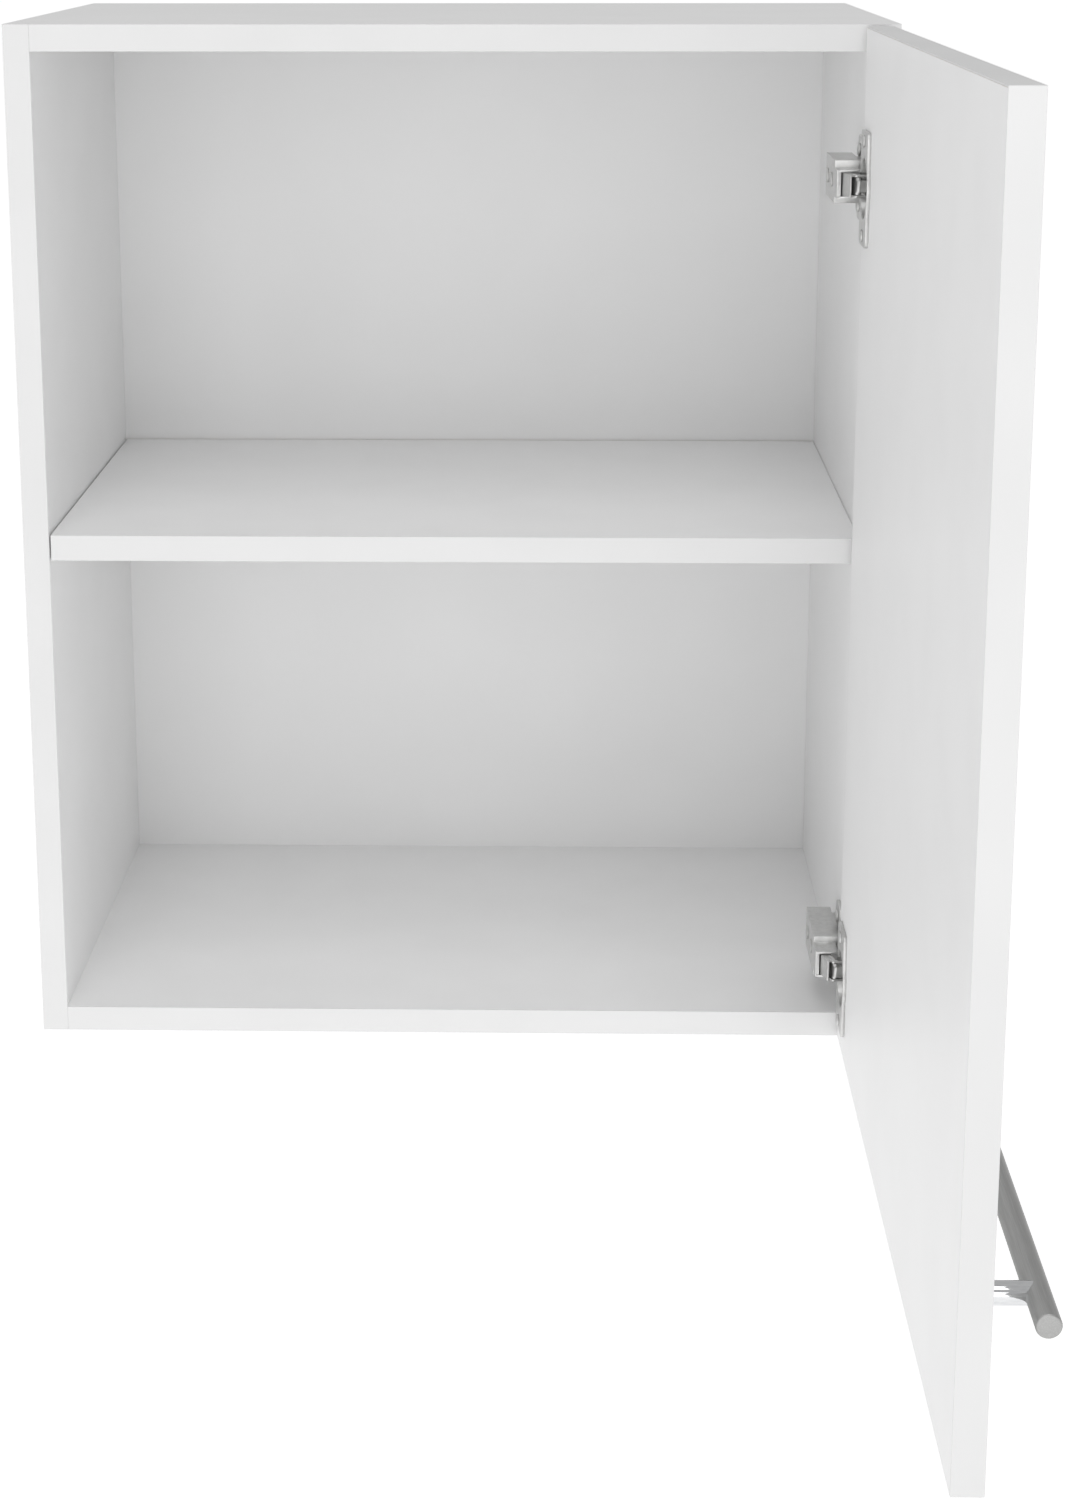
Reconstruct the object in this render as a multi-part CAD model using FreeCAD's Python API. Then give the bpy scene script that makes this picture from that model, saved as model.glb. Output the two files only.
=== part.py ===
"""Hanging wall cabinet: a white board carcass with one shelf and one door on two concealed hinges.

Millimetres. The wall plane is Y = 0 and the cabinet stands in front of it, towards -Y. +Z is up and +X is
to the right of someone facing the cabinet. The origin is midway between the two keyholes it hangs from.
The door is drawn fully open, at a right angle to the front, which is its rest position.
"""
import FreeCAD
import Part

import math
import os

Vector = FreeCAD.Vector

# ---- carcass
CABINET_WIDTH = 500.0
CABINET_HEIGHT = 600.0
CABINET_DEPTH = 315.0
BOARD = 15.0               # thickness of every board but the back
EDGE_BAND = 1.0            # thickness of the band glued to each visible board edge
BACK_THICKNESS = 3.0
BACK_RECESS = 15.0         # from the wall plane to the back panel's rear face
BACK_GROOVE_DEPTH = 8.0
BACK_ENTRY = 7.5           # how far the back panel enters its grooves
BACK_PLAY = 0.1            # each side of the back panel in its grooves

# ---- shelf and its pins
SHELF_TOP_HEIGHT = 308.0   # above the underside of the cabinet
SHELF_GAP_LEFT = 1.0
SHELF_GAP_RIGHT = 0.3
SHELF_GAP_BACK = 1.0
PIN_RADIUS = 2.5
PIN_COLLAR_RADIUS = 4.0
PIN_COLLAR = 1.2
PIN_DEPTH = 9.0            # in the side panel
PIN_REACH = 8.0            # under the shelf
PIN_SETBACK = 37.0         # hole row behind the cabinet's front, and before the back panel

# ---- hanging rails and keyhole plates
RAIL_HEIGHT = 70.0
HANG_DROP = 50.0           # from the top of the cabinet to the keyholes
HANG_SPACING = 380.0       # between the two keyholes
PLATE_WIDTH = 32.0
PLATE_HEIGHT = 52.0
PLATE_THICKNESS = 2.0
KEYHOLE_RADIUS = 5.0       # lets the head of the wall screw in
KEYHOLE_SLOT_RADIUS = 2.6  # holds the shank of the wall screw
KEYHOLE_RISE = 11.0        # from the round hole's centre up to the slot's end
KEYHOLE_ROOM = 1.5         # around the keyhole in the rail behind the plate
PLATE_SCREW_RADIUS = 1.75
PLATE_SCREW_HEAD = 3.4
PLATE_SCREW_LENGTH = 12.0
PLATE_SCREW_INSET = 7.0    # from the plate's top and bottom

# ---- carcass screws, caps and dowels
SCREW_RADIUS = 2.5
SCREW_HEAD_RADIUS = 3.5
SCREW_HEAD = 3.0
SCREW_LENGTH = 50.0
CAP_RADIUS = 6.0
CAP_THICKNESS = 0.8
DOWEL_RADIUS = 4.0
DOWEL_LENGTH = 30.0
DOWEL_IN_SIDE = 10.0
SCREW_SETBACK = 50.0       # from the front and from the back panel
DOWEL_SETBACK = 90.0
HOLE_PLAY = 0.05           # between a shank or a dowel and its hole

# ---- door
DOOR_SIDE_REVEAL = 2.0
DOOR_END_REVEAL = 1.0
DOOR_GAP = 3.0             # closed door to carcass, and open door's hinge edge to carcass
DOOR_INSET_OPEN = 4.5      # how far the open door's inner face stands inside the side panel's inner face
OPEN_ANGLE = 90.0          # from closed to the rest position

# ---- hinges
HINGE_DROP_UPPER = 88.0    # from the top of the cabinet
HINGE_RISE_LOWER = 47.0    # from the underside of the cabinet
CUP_RADIUS = 17.4
CUP_WALL = 1.0
CUP_DEPTH = 11.9
CUP_EDGE = 5.1             # from the door's hinge edge to the cup
CUP_BORE_PLAY = 0.1
CUP_RIM = 1.5              # of the flange, round the cup's bore
CUP_MOUTH_CHAMFER = 0.6    # on the inner edge of the cup's mouth
FLANGE_THICKNESS = 2.0
FLANGE_HALF_WIDTH = 16.0   # of its two wings, along the door's width
FLANGE_LENGTH = 63.0
FLANGE_CORNER = 4.0
FLANGE_HOLE_SPACING = 52.0
CUP_SCREW_RADIUS = 1.75
CUP_SCREW_HEAD = 3.6
CUP_SCREW_HEAD_HEIGHT = 1.6
CUP_SCREW_LENGTH = 11.0

# pivots, measured into the cabinet from the side panel's inner front corner
OUTER_PIVOT = (-14.19, 4.17)
INNER_PIVOT = (-12.62, -0.31)
OUTER_ELBOW = (-7.5, -14.3)   # where each link turns in through the mouth of the cup
INNER_ELBOW = (-8.8, -13.0)
OUTER_PIN_REACH = 6.3      # from the door's turning centre to the outer link's cup pin
INNER_PIN_REACH = 2.6      # the same for the inner link
ARM_PIN_RADIUS = 1.5
CUP_PIN_RADIUS = 1.0
INNER_TIP_RADIUS = 0.9     # end of the inner link's cheeks in the cup
PIN_PLAY = 0.05
LINK_END = 2.4             # radius of a link round its arm pin
LINK_ELBOW = 1.4           # half width of a link at its elbow
INNER_TIP_SHARE = 0.8      # how much of the way from elbow to cup pin the inner link goes
LINK_TIP = 1.7             # radius of the outer link at the cup
LINK_CORE = 3.2            # half width of the outer link, which runs between the inner link's cheeks
LINK_CHEEK = 1.2
LINK_WEB_OFFSET = 3.0      # from the inner link's middle line to its web
LINK_WEB_SHARES = (0.1, 0.9)   # where the web starts and ends between pivot and elbow
LINK_BROAD_SHARE = 0.92    # how much of the way to its elbow the outer link is broad
LINK_PLAY = 0.4
LUG_PLAY = 0.3
LUG = 1.2                  # thickness of the cup's two lugs, which carry the cup pin
LUG_REACH = 1.9            # of a lug beyond the cup pin's axis

ARM_TOP = -18.7            # the arm's flat face, which looks into the cabinet
ARM_SHEET = 1.4
ARM_NOSE = -3.2            # front end of the arm
ARM_LIP = 2.3              # how far the arm's flat face is folded in at its front end
ARM_LENGTH = 66.0
ARM_SHOULDER = 12.0        # where the arm widens behind its nose
ARM_HALF_WIDTH = 12.0
ARM_EDGE = -5.6            # the edge of the arm's cheeks nearest the side panel
ARM_FOOT = -4.0            # the same behind the shoulder

MOUNT_SETBACK = 37.0       # from the front edge to the mounting plate's screws
MOUNT_SCREW_SPACING = 32.0
MOUNT_BASE = 2.0
MOUNT_BASE_LENGTH = 22.0
MOUNT_BASE_HEIGHT = 48.0
MOUNT_BLOCK_HALF = 10.2
MOUNT_BLOCK_TOP = -15.6
MOUNT_BLOCK_FRONT = 20.0
MOUNT_BLOCK_BACK = 58.0
MOUNT_SCREW_RADIUS = 2.4
MOUNT_SCREW_HEAD = 3.9
MOUNT_SCREW_HEAD_HEIGHT = 1.8
MOUNT_SCREW_LENGTH = 12.0

ARM_SCREW_RADIUS = 2.9
ARM_SCREW_HEAD = 4.2
ARM_SCREW_HEAD_HEIGHT = 1.2
ARM_SCREW_LENGTH = 9.0
ARM_SCREW_SLOT = 1.4
ARM_SCREW_SLOT_LENGTH = 4.2
ARM_SCREW_FRONT = 27.0
ARM_SCREW_BACK = 50.0

# ---- handle
HANDLE_LENGTH = 188.0
HANDLE_RADIUS = 6.0
HANDLE_HOLE_SPACING = 128.0
HANDLE_STANDOFF = 29.0     # door face to bar axis
HANDLE_FROM_FREE_EDGE = 120.3
HANDLE_FROM_DOOR_BOTTOM = 66.6
POST_RADIUS = 5.6
HANDLE_STUD_RADIUS = 2.0   # double-ended screw that joins each post to the door
STUD_IN_POST = 12.0
STUD_IN_DOOR = 11.0        # blind, so that nothing shows on the door's inner face
BAR_EDGE = 0.6             # chamfer on the bar's ends

# ---- places that follow from the sizes above
RIGHT = CABINET_WIDTH / 2
LEFT = -RIGHT
INNER_RIGHT = RIGHT - BOARD
INNER_LEFT = LEFT + BOARD
FRONT = -CABINET_DEPTH
TOP = HANG_DROP
BOTTOM = TOP - CABINET_HEIGHT
INNER_TOP = TOP - BOARD
INNER_BOTTOM = BOTTOM + BOARD
BACK_REAR = -BACK_RECESS
BACK_FRONT = BACK_REAR - BACK_THICKNESS
SHELF_TOP = BOTTOM + SHELF_TOP_HEIGHT
SHELF_UNDER = SHELF_TOP - BOARD

DOOR_WIDTH = CABINET_WIDTH - 2 * DOOR_SIDE_REVEAL
DOOR_INNER = INNER_RIGHT - DOOR_INSET_OPEN
DOOR_OUTER = DOOR_INNER + BOARD
DOOR_HINGE_EDGE = FRONT - DOOR_GAP
DOOR_FREE_EDGE = DOOR_HINGE_EDGE - DOOR_WIDTH
DOOR_TOP = TOP - DOOR_END_REVEAL
DOOR_BOTTOM = BOTTOM + DOOR_END_REVEAL
CUP_Y = DOOR_HINGE_EDGE - CUP_EDGE - CUP_RADIUS
HINGE_HEIGHTS = {"upper": TOP - HINGE_DROP_UPPER, "lower": BOTTOM + HINGE_RISE_LOWER}

HANDLE_Z = DOOR_BOTTOM + HANDLE_FROM_DOOR_BOTTOM
HANDLE_Y = DOOR_FREE_EDGE + HANDLE_FROM_FREE_EDGE
HANDLE_X = DOOR_OUTER + HANDLE_STANDOFF
POST_PLACES = [HANDLE_Y - HANDLE_HOLE_SPACING / 2, HANDLE_Y + HANDLE_HOLE_SPACING / 2]

SCREW_PLACES = [FRONT + SCREW_SETBACK, BACK_FRONT - SCREW_SETBACK]
DOWEL_PLACES = [FRONT + DOWEL_SETBACK, BACK_FRONT - DOWEL_SETBACK]
PIN_PLACES = [FRONT + PIN_SETBACK, BACK_FRONT - PIN_SETBACK]
BOARD_MIDDLES = (TOP - BOARD / 2, BOTTOM + BOARD / 2)
RAIL_MIDDLES = (INNER_TOP - RAIL_HEIGHT / 2, INNER_BOTTOM + RAIL_HEIGHT / 2)
PLATE_BOTTOM = -PLATE_HEIGHT / 2 + KEYHOLE_RISE / 2
PLATE_TOP = PLATE_BOTTOM + PLATE_HEIGHT
KEYHOLE_PLACES = [-HANG_SPACING / 2, HANG_SPACING / 2]


# ---- shape helpers
def box(x_range, y_range, z_range):
    """Box between two values on each axis."""
    low = Vector(x_range[0], y_range[0], z_range[0])
    return Part.makeBox(x_range[1] - x_range[0], y_range[1] - y_range[0], z_range[1] - z_range[0], low)


def rod(start, direction, radius, length):
    """Cylinder from a start point along a direction."""
    return Part.makeCylinder(radius, length, Vector(*start), Vector(*direction))


def cone(start, direction, radius_start, radius_end, length):
    """Cone or frustum from a start point along a direction."""
    return Part.makeCone(radius_start, radius_end, length, Vector(*start), Vector(*direction))


def fuse(shapes):
    """One solid from shapes that overlap."""
    return shapes[0].multiFuse(shapes[1:]).removeSplitter() if len(shapes) > 1 else shapes[0]


def cut(shape, tools):
    """A shape with every tool taken away."""
    return shape.cut(Part.makeCompound(tools)) if tools else shape


def slab(outline, z_low, z_high):
    """Plate with an outline of (x, y) points, between two heights."""
    points = [Vector(x, y, z_low) for x, y in outline]
    face = Part.Face(Part.makePolygon(points + points[:1]))
    return face.extrude(Vector(0, 0, z_high - z_low))


# ---- hinge geometry: the turning centre and the pins in the cup
def turning_centre():
    """Centre of the turn that takes the closed door to the open one, from the inner front corner."""
    across = (BOARD - DOOR_SIDE_REVEAL + DOOR_INSET_OPEN) / 2
    return (BOARD - DOOR_SIDE_REVEAL - across, -DOOR_GAP - across)


def cup_pin(pivot, reach):
    """Open place of the cup pin that is equally far from its arm pivot when the door is shut."""
    centre = turning_centre()
    towards_pivot = math.atan2(pivot[1] - centre[1], pivot[0] - centre[0])
    angle = towards_pivot + math.radians(OPEN_ANGLE) / 2
    return (centre[0] + reach * math.cos(angle), centre[1] + reach * math.sin(angle))


def place(point):
    """A point measured from the side panel's inner front corner, in the cabinet's frame."""
    return (INNER_RIGHT + point[0], FRONT + point[1])


OUTER_CUP_PIN = cup_pin(OUTER_PIVOT, OUTER_PIN_REACH)
INNER_CUP_PIN = cup_pin(INNER_PIVOT, INNER_PIN_REACH)
LUG_INNER = LINK_CORE + LUG_PLAY
LUG_OUTER = LUG_INNER + LUG
CHEEK_INNER = LUG_OUTER + LINK_PLAY
CHEEK_OUTER = CHEEK_INNER + LINK_CHEEK
NOSE_INNER = CHEEK_OUTER + LINK_PLAY
NOSE_OUTER = NOSE_INNER + ARM_SHEET


# ---- tools that several pieces share
def side_holes(outer_face, inward):
    """Screw, cap, dowel and shelf pin holes of one side panel, from its outer face inward."""
    tools = []
    for z in BOARD_MIDDLES:
        for y in SCREW_PLACES:
            tools.append(rod((outer_face, y, z), (inward, 0, 0), SCREW_RADIUS + HOLE_PLAY, BOARD))
            tools.append(rod((outer_face, y, z), (inward, 0, 0), SCREW_HEAD_RADIUS + HOLE_PLAY, SCREW_HEAD))
        for y in DOWEL_PLACES:
            start = outer_face + inward * (BOARD - DOWEL_IN_SIDE)
            tools.append(rod((start, y, z), (inward, 0, 0), DOWEL_RADIUS + HOLE_PLAY, DOWEL_IN_SIDE))
    for y in PIN_PLACES:
        start = outer_face + inward * (BOARD - PIN_DEPTH)
        z = SHELF_UNDER - PIN_RADIUS
        tools.append(rod((start, y, z), (inward, 0, 0), PIN_RADIUS + HOLE_PLAY, PIN_DEPTH))
    return tools


def rail_screw_holes(rail_middle):
    """Holes for the two screws that hold each end of a rail."""
    tools = []
    for outer_face, inward in ((LEFT, 1), (RIGHT, -1)):
        for z in rail_screw_heights(rail_middle):
            start = (outer_face, BACK_REAR / 2, z)
            tools.append(rod(start, (inward, 0, 0), SCREW_RADIUS + HOLE_PLAY, SCREW_LENGTH))
            tools.append(rod(start, (inward, 0, 0), SCREW_HEAD_RADIUS + HOLE_PLAY, SCREW_HEAD))
    return tools


def rail_screw_heights(rail_middle):
    """Heights of the two screws in each end of a rail."""
    return (rail_middle - RAIL_HEIGHT / 4, rail_middle + RAIL_HEIGHT / 4)


def back_groove():
    """The groove round the carcass that holds the back panel."""
    return box(
        (INNER_LEFT - BACK_GROOVE_DEPTH, INNER_RIGHT + BACK_GROOVE_DEPTH),
        (BACK_FRONT - BACK_PLAY, BACK_REAR + BACK_PLAY),
        (INNER_BOTTOM - BACK_GROOVE_DEPTH, INNER_TOP + BACK_GROOVE_DEPTH),
    )


def mounting_holes():
    """Holes in the right side panel for the mounting plate screws."""
    tools = []
    for height in HINGE_HEIGHTS.values():
        for z in mount_screw_heights(height):
            start = (INNER_RIGHT, FRONT + MOUNT_SETBACK, z)
            depth = MOUNT_SCREW_LENGTH - MOUNT_BASE
            tools.append(rod(start, (1, 0, 0), MOUNT_SCREW_RADIUS + HOLE_PLAY, depth))
    return tools


def mount_screw_heights(height):
    """Heights of a mounting plate's two screws."""
    return (height - MOUNT_SCREW_SPACING / 2, height + MOUNT_SCREW_SPACING / 2)


# ---- carcass
def side_panel(outer_face, inward):
    """One full-height side board, without its front band."""
    xs = sorted((outer_face, outer_face + inward * BOARD))
    board = box(xs, (FRONT + EDGE_BAND, 0), (BOTTOM, TOP))
    tools = side_holes(outer_face, inward) + [back_groove()]
    for middle in RAIL_MIDDLES:
        tools += rail_screw_holes(middle)
    if inward < 0:
        tools += mounting_holes()
    return cut(board, tools)


def cross_panel(z_low):
    """The top or the bottom board, between the sides."""
    board = box((INNER_LEFT, INNER_RIGHT), (FRONT + EDGE_BAND, 0), (z_low, z_low + BOARD))
    tools = [back_groove()]
    for face, inward in ((INNER_LEFT, 1), (INNER_RIGHT, -1)):
        z = z_low + BOARD / 2
        for y in SCREW_PLACES:
            depth = SCREW_LENGTH - BOARD
            tools.append(rod((face, y, z), (inward, 0, 0), SCREW_RADIUS + HOLE_PLAY, depth))
        for y in DOWEL_PLACES:
            depth = DOWEL_LENGTH - DOWEL_IN_SIDE
            tools.append(rod((face, y, z), (inward, 0, 0), DOWEL_RADIUS + HOLE_PLAY, depth))
    return cut(board, tools)


def carcass_edge_bands():
    """Front bands of the two sides, the top and the bottom."""
    band = (FRONT, FRONT + EDGE_BAND)
    bands = [box(xs, band, (BOTTOM, TOP)) for xs in ((LEFT, INNER_LEFT), (INNER_RIGHT, RIGHT))]
    for z_low in (BOTTOM, INNER_TOP):
        bands.append(box((INNER_LEFT, INNER_RIGHT), band, (z_low, z_low + BOARD)))
    return Part.makeCompound(bands)


def back_panel():
    """Thin back board, held in the grooves of the carcass."""
    return box(
        (INNER_LEFT - BACK_ENTRY, INNER_RIGHT + BACK_ENTRY),
        (BACK_FRONT, BACK_REAR),
        (INNER_BOTTOM - BACK_ENTRY, INNER_TOP + BACK_ENTRY),
    )


def carcass_screw_places():
    """Depth and height of every screw through a side panel."""
    places = [(y, z) for z in BOARD_MIDDLES for y in SCREW_PLACES]
    return places + [(BACK_REAR / 2, z) for middle in RAIL_MIDDLES for z in rail_screw_heights(middle)]


def carcass_screws():
    """Screws through the sides into the ends of the top, the bottom and both rails."""
    screws = []
    for outer_face, inward in ((LEFT, 1), (RIGHT, -1)):
        for y, z in carcass_screw_places():
            head = rod((outer_face, y, z), (inward, 0, 0), SCREW_HEAD_RADIUS, SCREW_HEAD)
            shank = rod((outer_face, y, z), (inward, 0, 0), SCREW_RADIUS, SCREW_LENGTH)
            screws.append(fuse([head, shank]))
    return Part.makeCompound(screws)


def screw_caps():
    """Low domed caps stuck over the screw heads on both sides."""
    caps = []
    for outer_face, outward in ((LEFT, -1), (RIGHT, 1)):
        for y, z in carcass_screw_places():
            start = (outer_face, y, z)
            rim = CAP_RADIUS - CAP_THICKNESS
            caps.append(cone(start, (outward, 0, 0), CAP_RADIUS, rim, CAP_THICKNESS))
    return Part.makeCompound(caps)


def carcass_dowels():
    """Dowels between the sides and the top and bottom."""
    dowels = []
    for outer_face, inward in ((LEFT, 1), (RIGHT, -1)):
        start = outer_face + inward * (BOARD - DOWEL_IN_SIDE)
        for z in BOARD_MIDDLES:
            for y in DOWEL_PLACES:
                dowels.append(rod((start, y, z), (inward, 0, 0), DOWEL_RADIUS, DOWEL_LENGTH))
    return Part.makeCompound(dowels)


# ---- shelf
def shelf_x():
    """Left and right ends of the shelf."""
    return (INNER_LEFT + SHELF_GAP_LEFT, INNER_RIGHT - SHELF_GAP_RIGHT)


def shelf():
    """The shelf board, flush with the front of the carcass, without its band."""
    return box(shelf_x(), (FRONT + EDGE_BAND, BACK_FRONT - SHELF_GAP_BACK), (SHELF_UNDER, SHELF_TOP))


def shelf_edge_band():
    """Front band of the shelf."""
    return box(shelf_x(), (FRONT, FRONT + EDGE_BAND), (SHELF_UNDER, SHELF_TOP))


def shelf_pins():
    """Four push-in pins with a collar, hidden under the shelf."""
    pins = []
    z = SHELF_UNDER - PIN_RADIUS
    for face, inward in ((INNER_LEFT, 1), (INNER_RIGHT, -1)):
        for y in PIN_PLACES:
            start = (face - inward * PIN_DEPTH, y, z)
            shank = rod(start, (inward, 0, 0), PIN_RADIUS, PIN_DEPTH + PIN_REACH)
            collar = rod((face, y, z), (inward, 0, 0), PIN_COLLAR_RADIUS, PIN_COLLAR)
            flat = box((INNER_LEFT, INNER_RIGHT), (y - BOARD, y + BOARD), (SHELF_UNDER, SHELF_TOP))
            pins.append(fuse([shank, collar]).cut(flat))
    return Part.makeCompound(pins)


# ---- hanging
def keyhole(x, grow, y_range):
    """Cutter for one keyhole: a round hole with a slot that rises from it."""
    y_low, y_high = y_range
    depth = y_high - y_low
    entry = rod((x, y_low, 0), (0, 1, 0), KEYHOLE_RADIUS + grow, depth)
    end = rod((x, y_low, KEYHOLE_RISE), (0, 1, 0), KEYHOLE_SLOT_RADIUS + grow, depth)
    half = KEYHOLE_SLOT_RADIUS + grow
    slot = box((x - half, x + half), y_range, (0, KEYHOLE_RISE))
    return fuse([entry, end, slot])


def plate_screw_heights():
    """Heights of the two screws in a keyhole plate."""
    return (PLATE_BOTTOM + PLATE_SCREW_INSET, PLATE_TOP - PLATE_SCREW_INSET)


def hanging_rail(z_middle, keyholes):
    """Rail behind the back panel, flush with the wall plane. The upper one carries the keyhole plates."""
    z_range = (z_middle - RAIL_HEIGHT / 2, z_middle + RAIL_HEIGHT / 2)
    rail = box((INNER_LEFT, INNER_RIGHT), (BACK_REAR, 0), z_range)
    tools = rail_screw_holes(z_middle)
    for x in KEYHOLE_PLACES if keyholes else ():
        half = PLATE_WIDTH / 2
        tools.append(box((x - half, x + half), (-PLATE_THICKNESS, 0), (PLATE_BOTTOM, PLATE_TOP)))
        room = KEYHOLE_RADIUS + KEYHOLE_ROOM
        tools.append(keyhole(x, KEYHOLE_ROOM, (BACK_REAR, 0)))
        tools.append(rod((x, BACK_REAR, KEYHOLE_RISE), (0, 1, 0), room, BACK_RECESS))
        for z in plate_screw_heights():
            tools.append(rod((x, 0, z), (0, -1, 0), PLATE_SCREW_RADIUS + HOLE_PLAY, PLATE_SCREW_LENGTH))
    return cut(rail, tools)


def plate_screw(x, z, grow):
    """Countersunk screw of a keyhole plate, or its hole when grown."""
    head = cone((x, 0, z), (0, -1, 0), PLATE_SCREW_HEAD + grow, PLATE_SCREW_RADIUS + grow, PLATE_THICKNESS)
    shank = rod((x, 0, z), (0, -1, 0), PLATE_SCREW_RADIUS + grow, PLATE_SCREW_LENGTH)
    return fuse([head, shank])


def hanger_plates():
    """Two steel keyhole plates let into the upper rail."""
    plates = []
    for x in KEYHOLE_PLACES:
        half = PLATE_WIDTH / 2
        plate = box((x - half, x + half), (-PLATE_THICKNESS, 0), (PLATE_BOTTOM, PLATE_TOP))
        tools = [keyhole(x, 0, (-PLATE_THICKNESS, 0))]
        tools += [plate_screw(x, z, HOLE_PLAY) for z in plate_screw_heights()]
        plates.append(cut(plate, tools))
    return Part.makeCompound(plates)


def hanger_plate_screws():
    """Four countersunk screws that hold the keyhole plates."""
    return Part.makeCompound([plate_screw(x, z, 0) for x in KEYHOLE_PLACES for z in plate_screw_heights()])


# ---- door
def door_x():
    """Inner and outer face of the open door."""
    return (DOOR_INNER, DOOR_OUTER)


def door_panel():
    """The door board inside its four bands, with bores for the hinge cups and the screws."""
    panel = box(
        door_x(),
        (DOOR_FREE_EDGE + EDGE_BAND, DOOR_HINGE_EDGE - EDGE_BAND),
        (DOOR_BOTTOM + EDGE_BAND, DOOR_TOP - EDGE_BAND),
    )
    tools = []
    for height in HINGE_HEIGHTS.values():
        bore = CUP_RADIUS + CUP_BORE_PLAY
        tools.append(rod((DOOR_INNER, CUP_Y, height), (1, 0, 0), bore, CUP_DEPTH + CUP_BORE_PLAY))
        for z in cup_screw_heights(height):
            start = (DOOR_INNER, CUP_Y, z)
            tools.append(rod(start, (1, 0, 0), CUP_SCREW_RADIUS + HOLE_PLAY, CUP_SCREW_LENGTH))
    for y in POST_PLACES:
        start = (DOOR_OUTER, y, HANDLE_Z)
        tools.append(rod(start, (-1, 0, 0), HANDLE_STUD_RADIUS + HOLE_PLAY, STUD_IN_DOOR + HOLE_PLAY))
    return cut(panel, tools)


def door_edge_bands():
    """Bands on the door's four edges: the two long ones run the full height."""
    bands = []
    for y_low in (DOOR_FREE_EDGE, DOOR_HINGE_EDGE - EDGE_BAND):
        bands.append(box(door_x(), (y_low, y_low + EDGE_BAND), (DOOR_BOTTOM, DOOR_TOP)))
    between = (DOOR_FREE_EDGE + EDGE_BAND, DOOR_HINGE_EDGE - EDGE_BAND)
    for z_low in (DOOR_BOTTOM, DOOR_TOP - EDGE_BAND):
        bands.append(box(door_x(), between, (z_low, z_low + EDGE_BAND)))
    return Part.makeCompound(bands)


# ---- hinges
def cup_screw_heights(height):
    """Heights of a cup's two screws."""
    return (height - FLANGE_HOLE_SPACING / 2, height + FLANGE_HOLE_SPACING / 2)


def hinge_cup(height):
    """Pressed steel cup with a flange that lies on the door's inner face."""
    face = DOOR_INNER
    start = (face - FLANGE_THICKNESS, CUP_Y, height)
    wings = box((start[0], face), (CUP_Y - FLANGE_HALF_WIDTH, CUP_Y + FLANGE_HALF_WIDTH),
                (height - FLANGE_LENGTH / 2, height + FLANGE_LENGTH / 2))
    corners = [edge for edge in wings.Edges if edge.BoundBox.XLength > FLANGE_THICKNESS / 2]
    rim = rod(start, (1, 0, 0), CUP_RADIUS + CUP_BORE_PLAY + CUP_RIM, FLANGE_THICKNESS)
    flange = fuse([wings.makeFillet(FLANGE_CORNER, corners), rim])
    shell = rod(start, (1, 0, 0), CUP_RADIUS, CUP_DEPTH + FLANGE_THICKNESS)
    hollow_radius = CUP_RADIUS - CUP_WALL
    hollow = rod(start, (1, 0, 0), hollow_radius, CUP_DEPTH + FLANGE_THICKNESS - CUP_WALL)
    mouth = cone(start, (1, 0, 0), hollow_radius + CUP_MOUTH_CHAMFER, hollow_radius, CUP_MOUTH_CHAMFER)
    body = fuse([cut(fuse([flange, shell]), [hollow, mouth])] + cup_lugs(height))
    pin_x, pin_y = place(OUTER_CUP_PIN)
    tools = [rod((pin_x, pin_y, height - LUG_OUTER), (0, 0, 1), CUP_PIN_RADIUS, 2 * LUG_OUTER)]
    for z in cup_screw_heights(height):
        tools.append(rod((start[0], CUP_Y, z), (1, 0, 0), CUP_SCREW_RADIUS + HOLE_PLAY, FLANGE_THICKNESS))
    return cut(body, tools)


def cup_lugs(height):
    """Two lugs that stand in from the cup's wall and carry the pin of the outer link."""
    pin_x, pin_y = place(OUTER_CUP_PIN)
    wall = CUP_Y + CUP_RADIUS - CUP_WALL / 2
    lugs = []
    for z_low in (height - LUG_OUTER, height + LUG_INNER):
        round_end = rod((pin_x, pin_y, z_low), (0, 0, 1), LUG_REACH, LUG)
        root = box((pin_x - LUG_REACH, pin_x + LUG_REACH), (pin_y, wall), (z_low, z_low + LUG))
        lugs.append(fuse([round_end, root]))
    cup_outside = rod((DOOR_INNER, CUP_Y, height), (1, 0, 0), CUP_RADIUS - CUP_WALL / 2, CUP_DEPTH)
    return [lug.common(cup_outside) for lug in lugs]


def cup_pins():
    """The pins between the lugs of the two cups, which carry the outer links."""
    pins = []
    pin_x, pin_y = place(OUTER_CUP_PIN)
    for height in HINGE_HEIGHTS.values():
        pins.append(rod((pin_x, pin_y, height - LUG_OUTER), (0, 0, 1), CUP_PIN_RADIUS, 2 * LUG_OUTER))
    return Part.makeCompound(pins)


def cup_screws():
    """Pan-headed screws through the cup flanges."""
    screws = []
    for height in HINGE_HEIGHTS.values():
        for z in cup_screw_heights(height):
            start = (DOOR_INNER - FLANGE_THICKNESS, CUP_Y, z)
            head = cone(start, (-1, 0, 0), CUP_SCREW_HEAD, CUP_SCREW_HEAD / 2, CUP_SCREW_HEAD_HEIGHT)
            shank = rod(start, (1, 0, 0), CUP_SCREW_RADIUS, CUP_SCREW_LENGTH)
            screws.append(fuse([head, shank]))
    return Part.makeCompound(screws)


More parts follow.
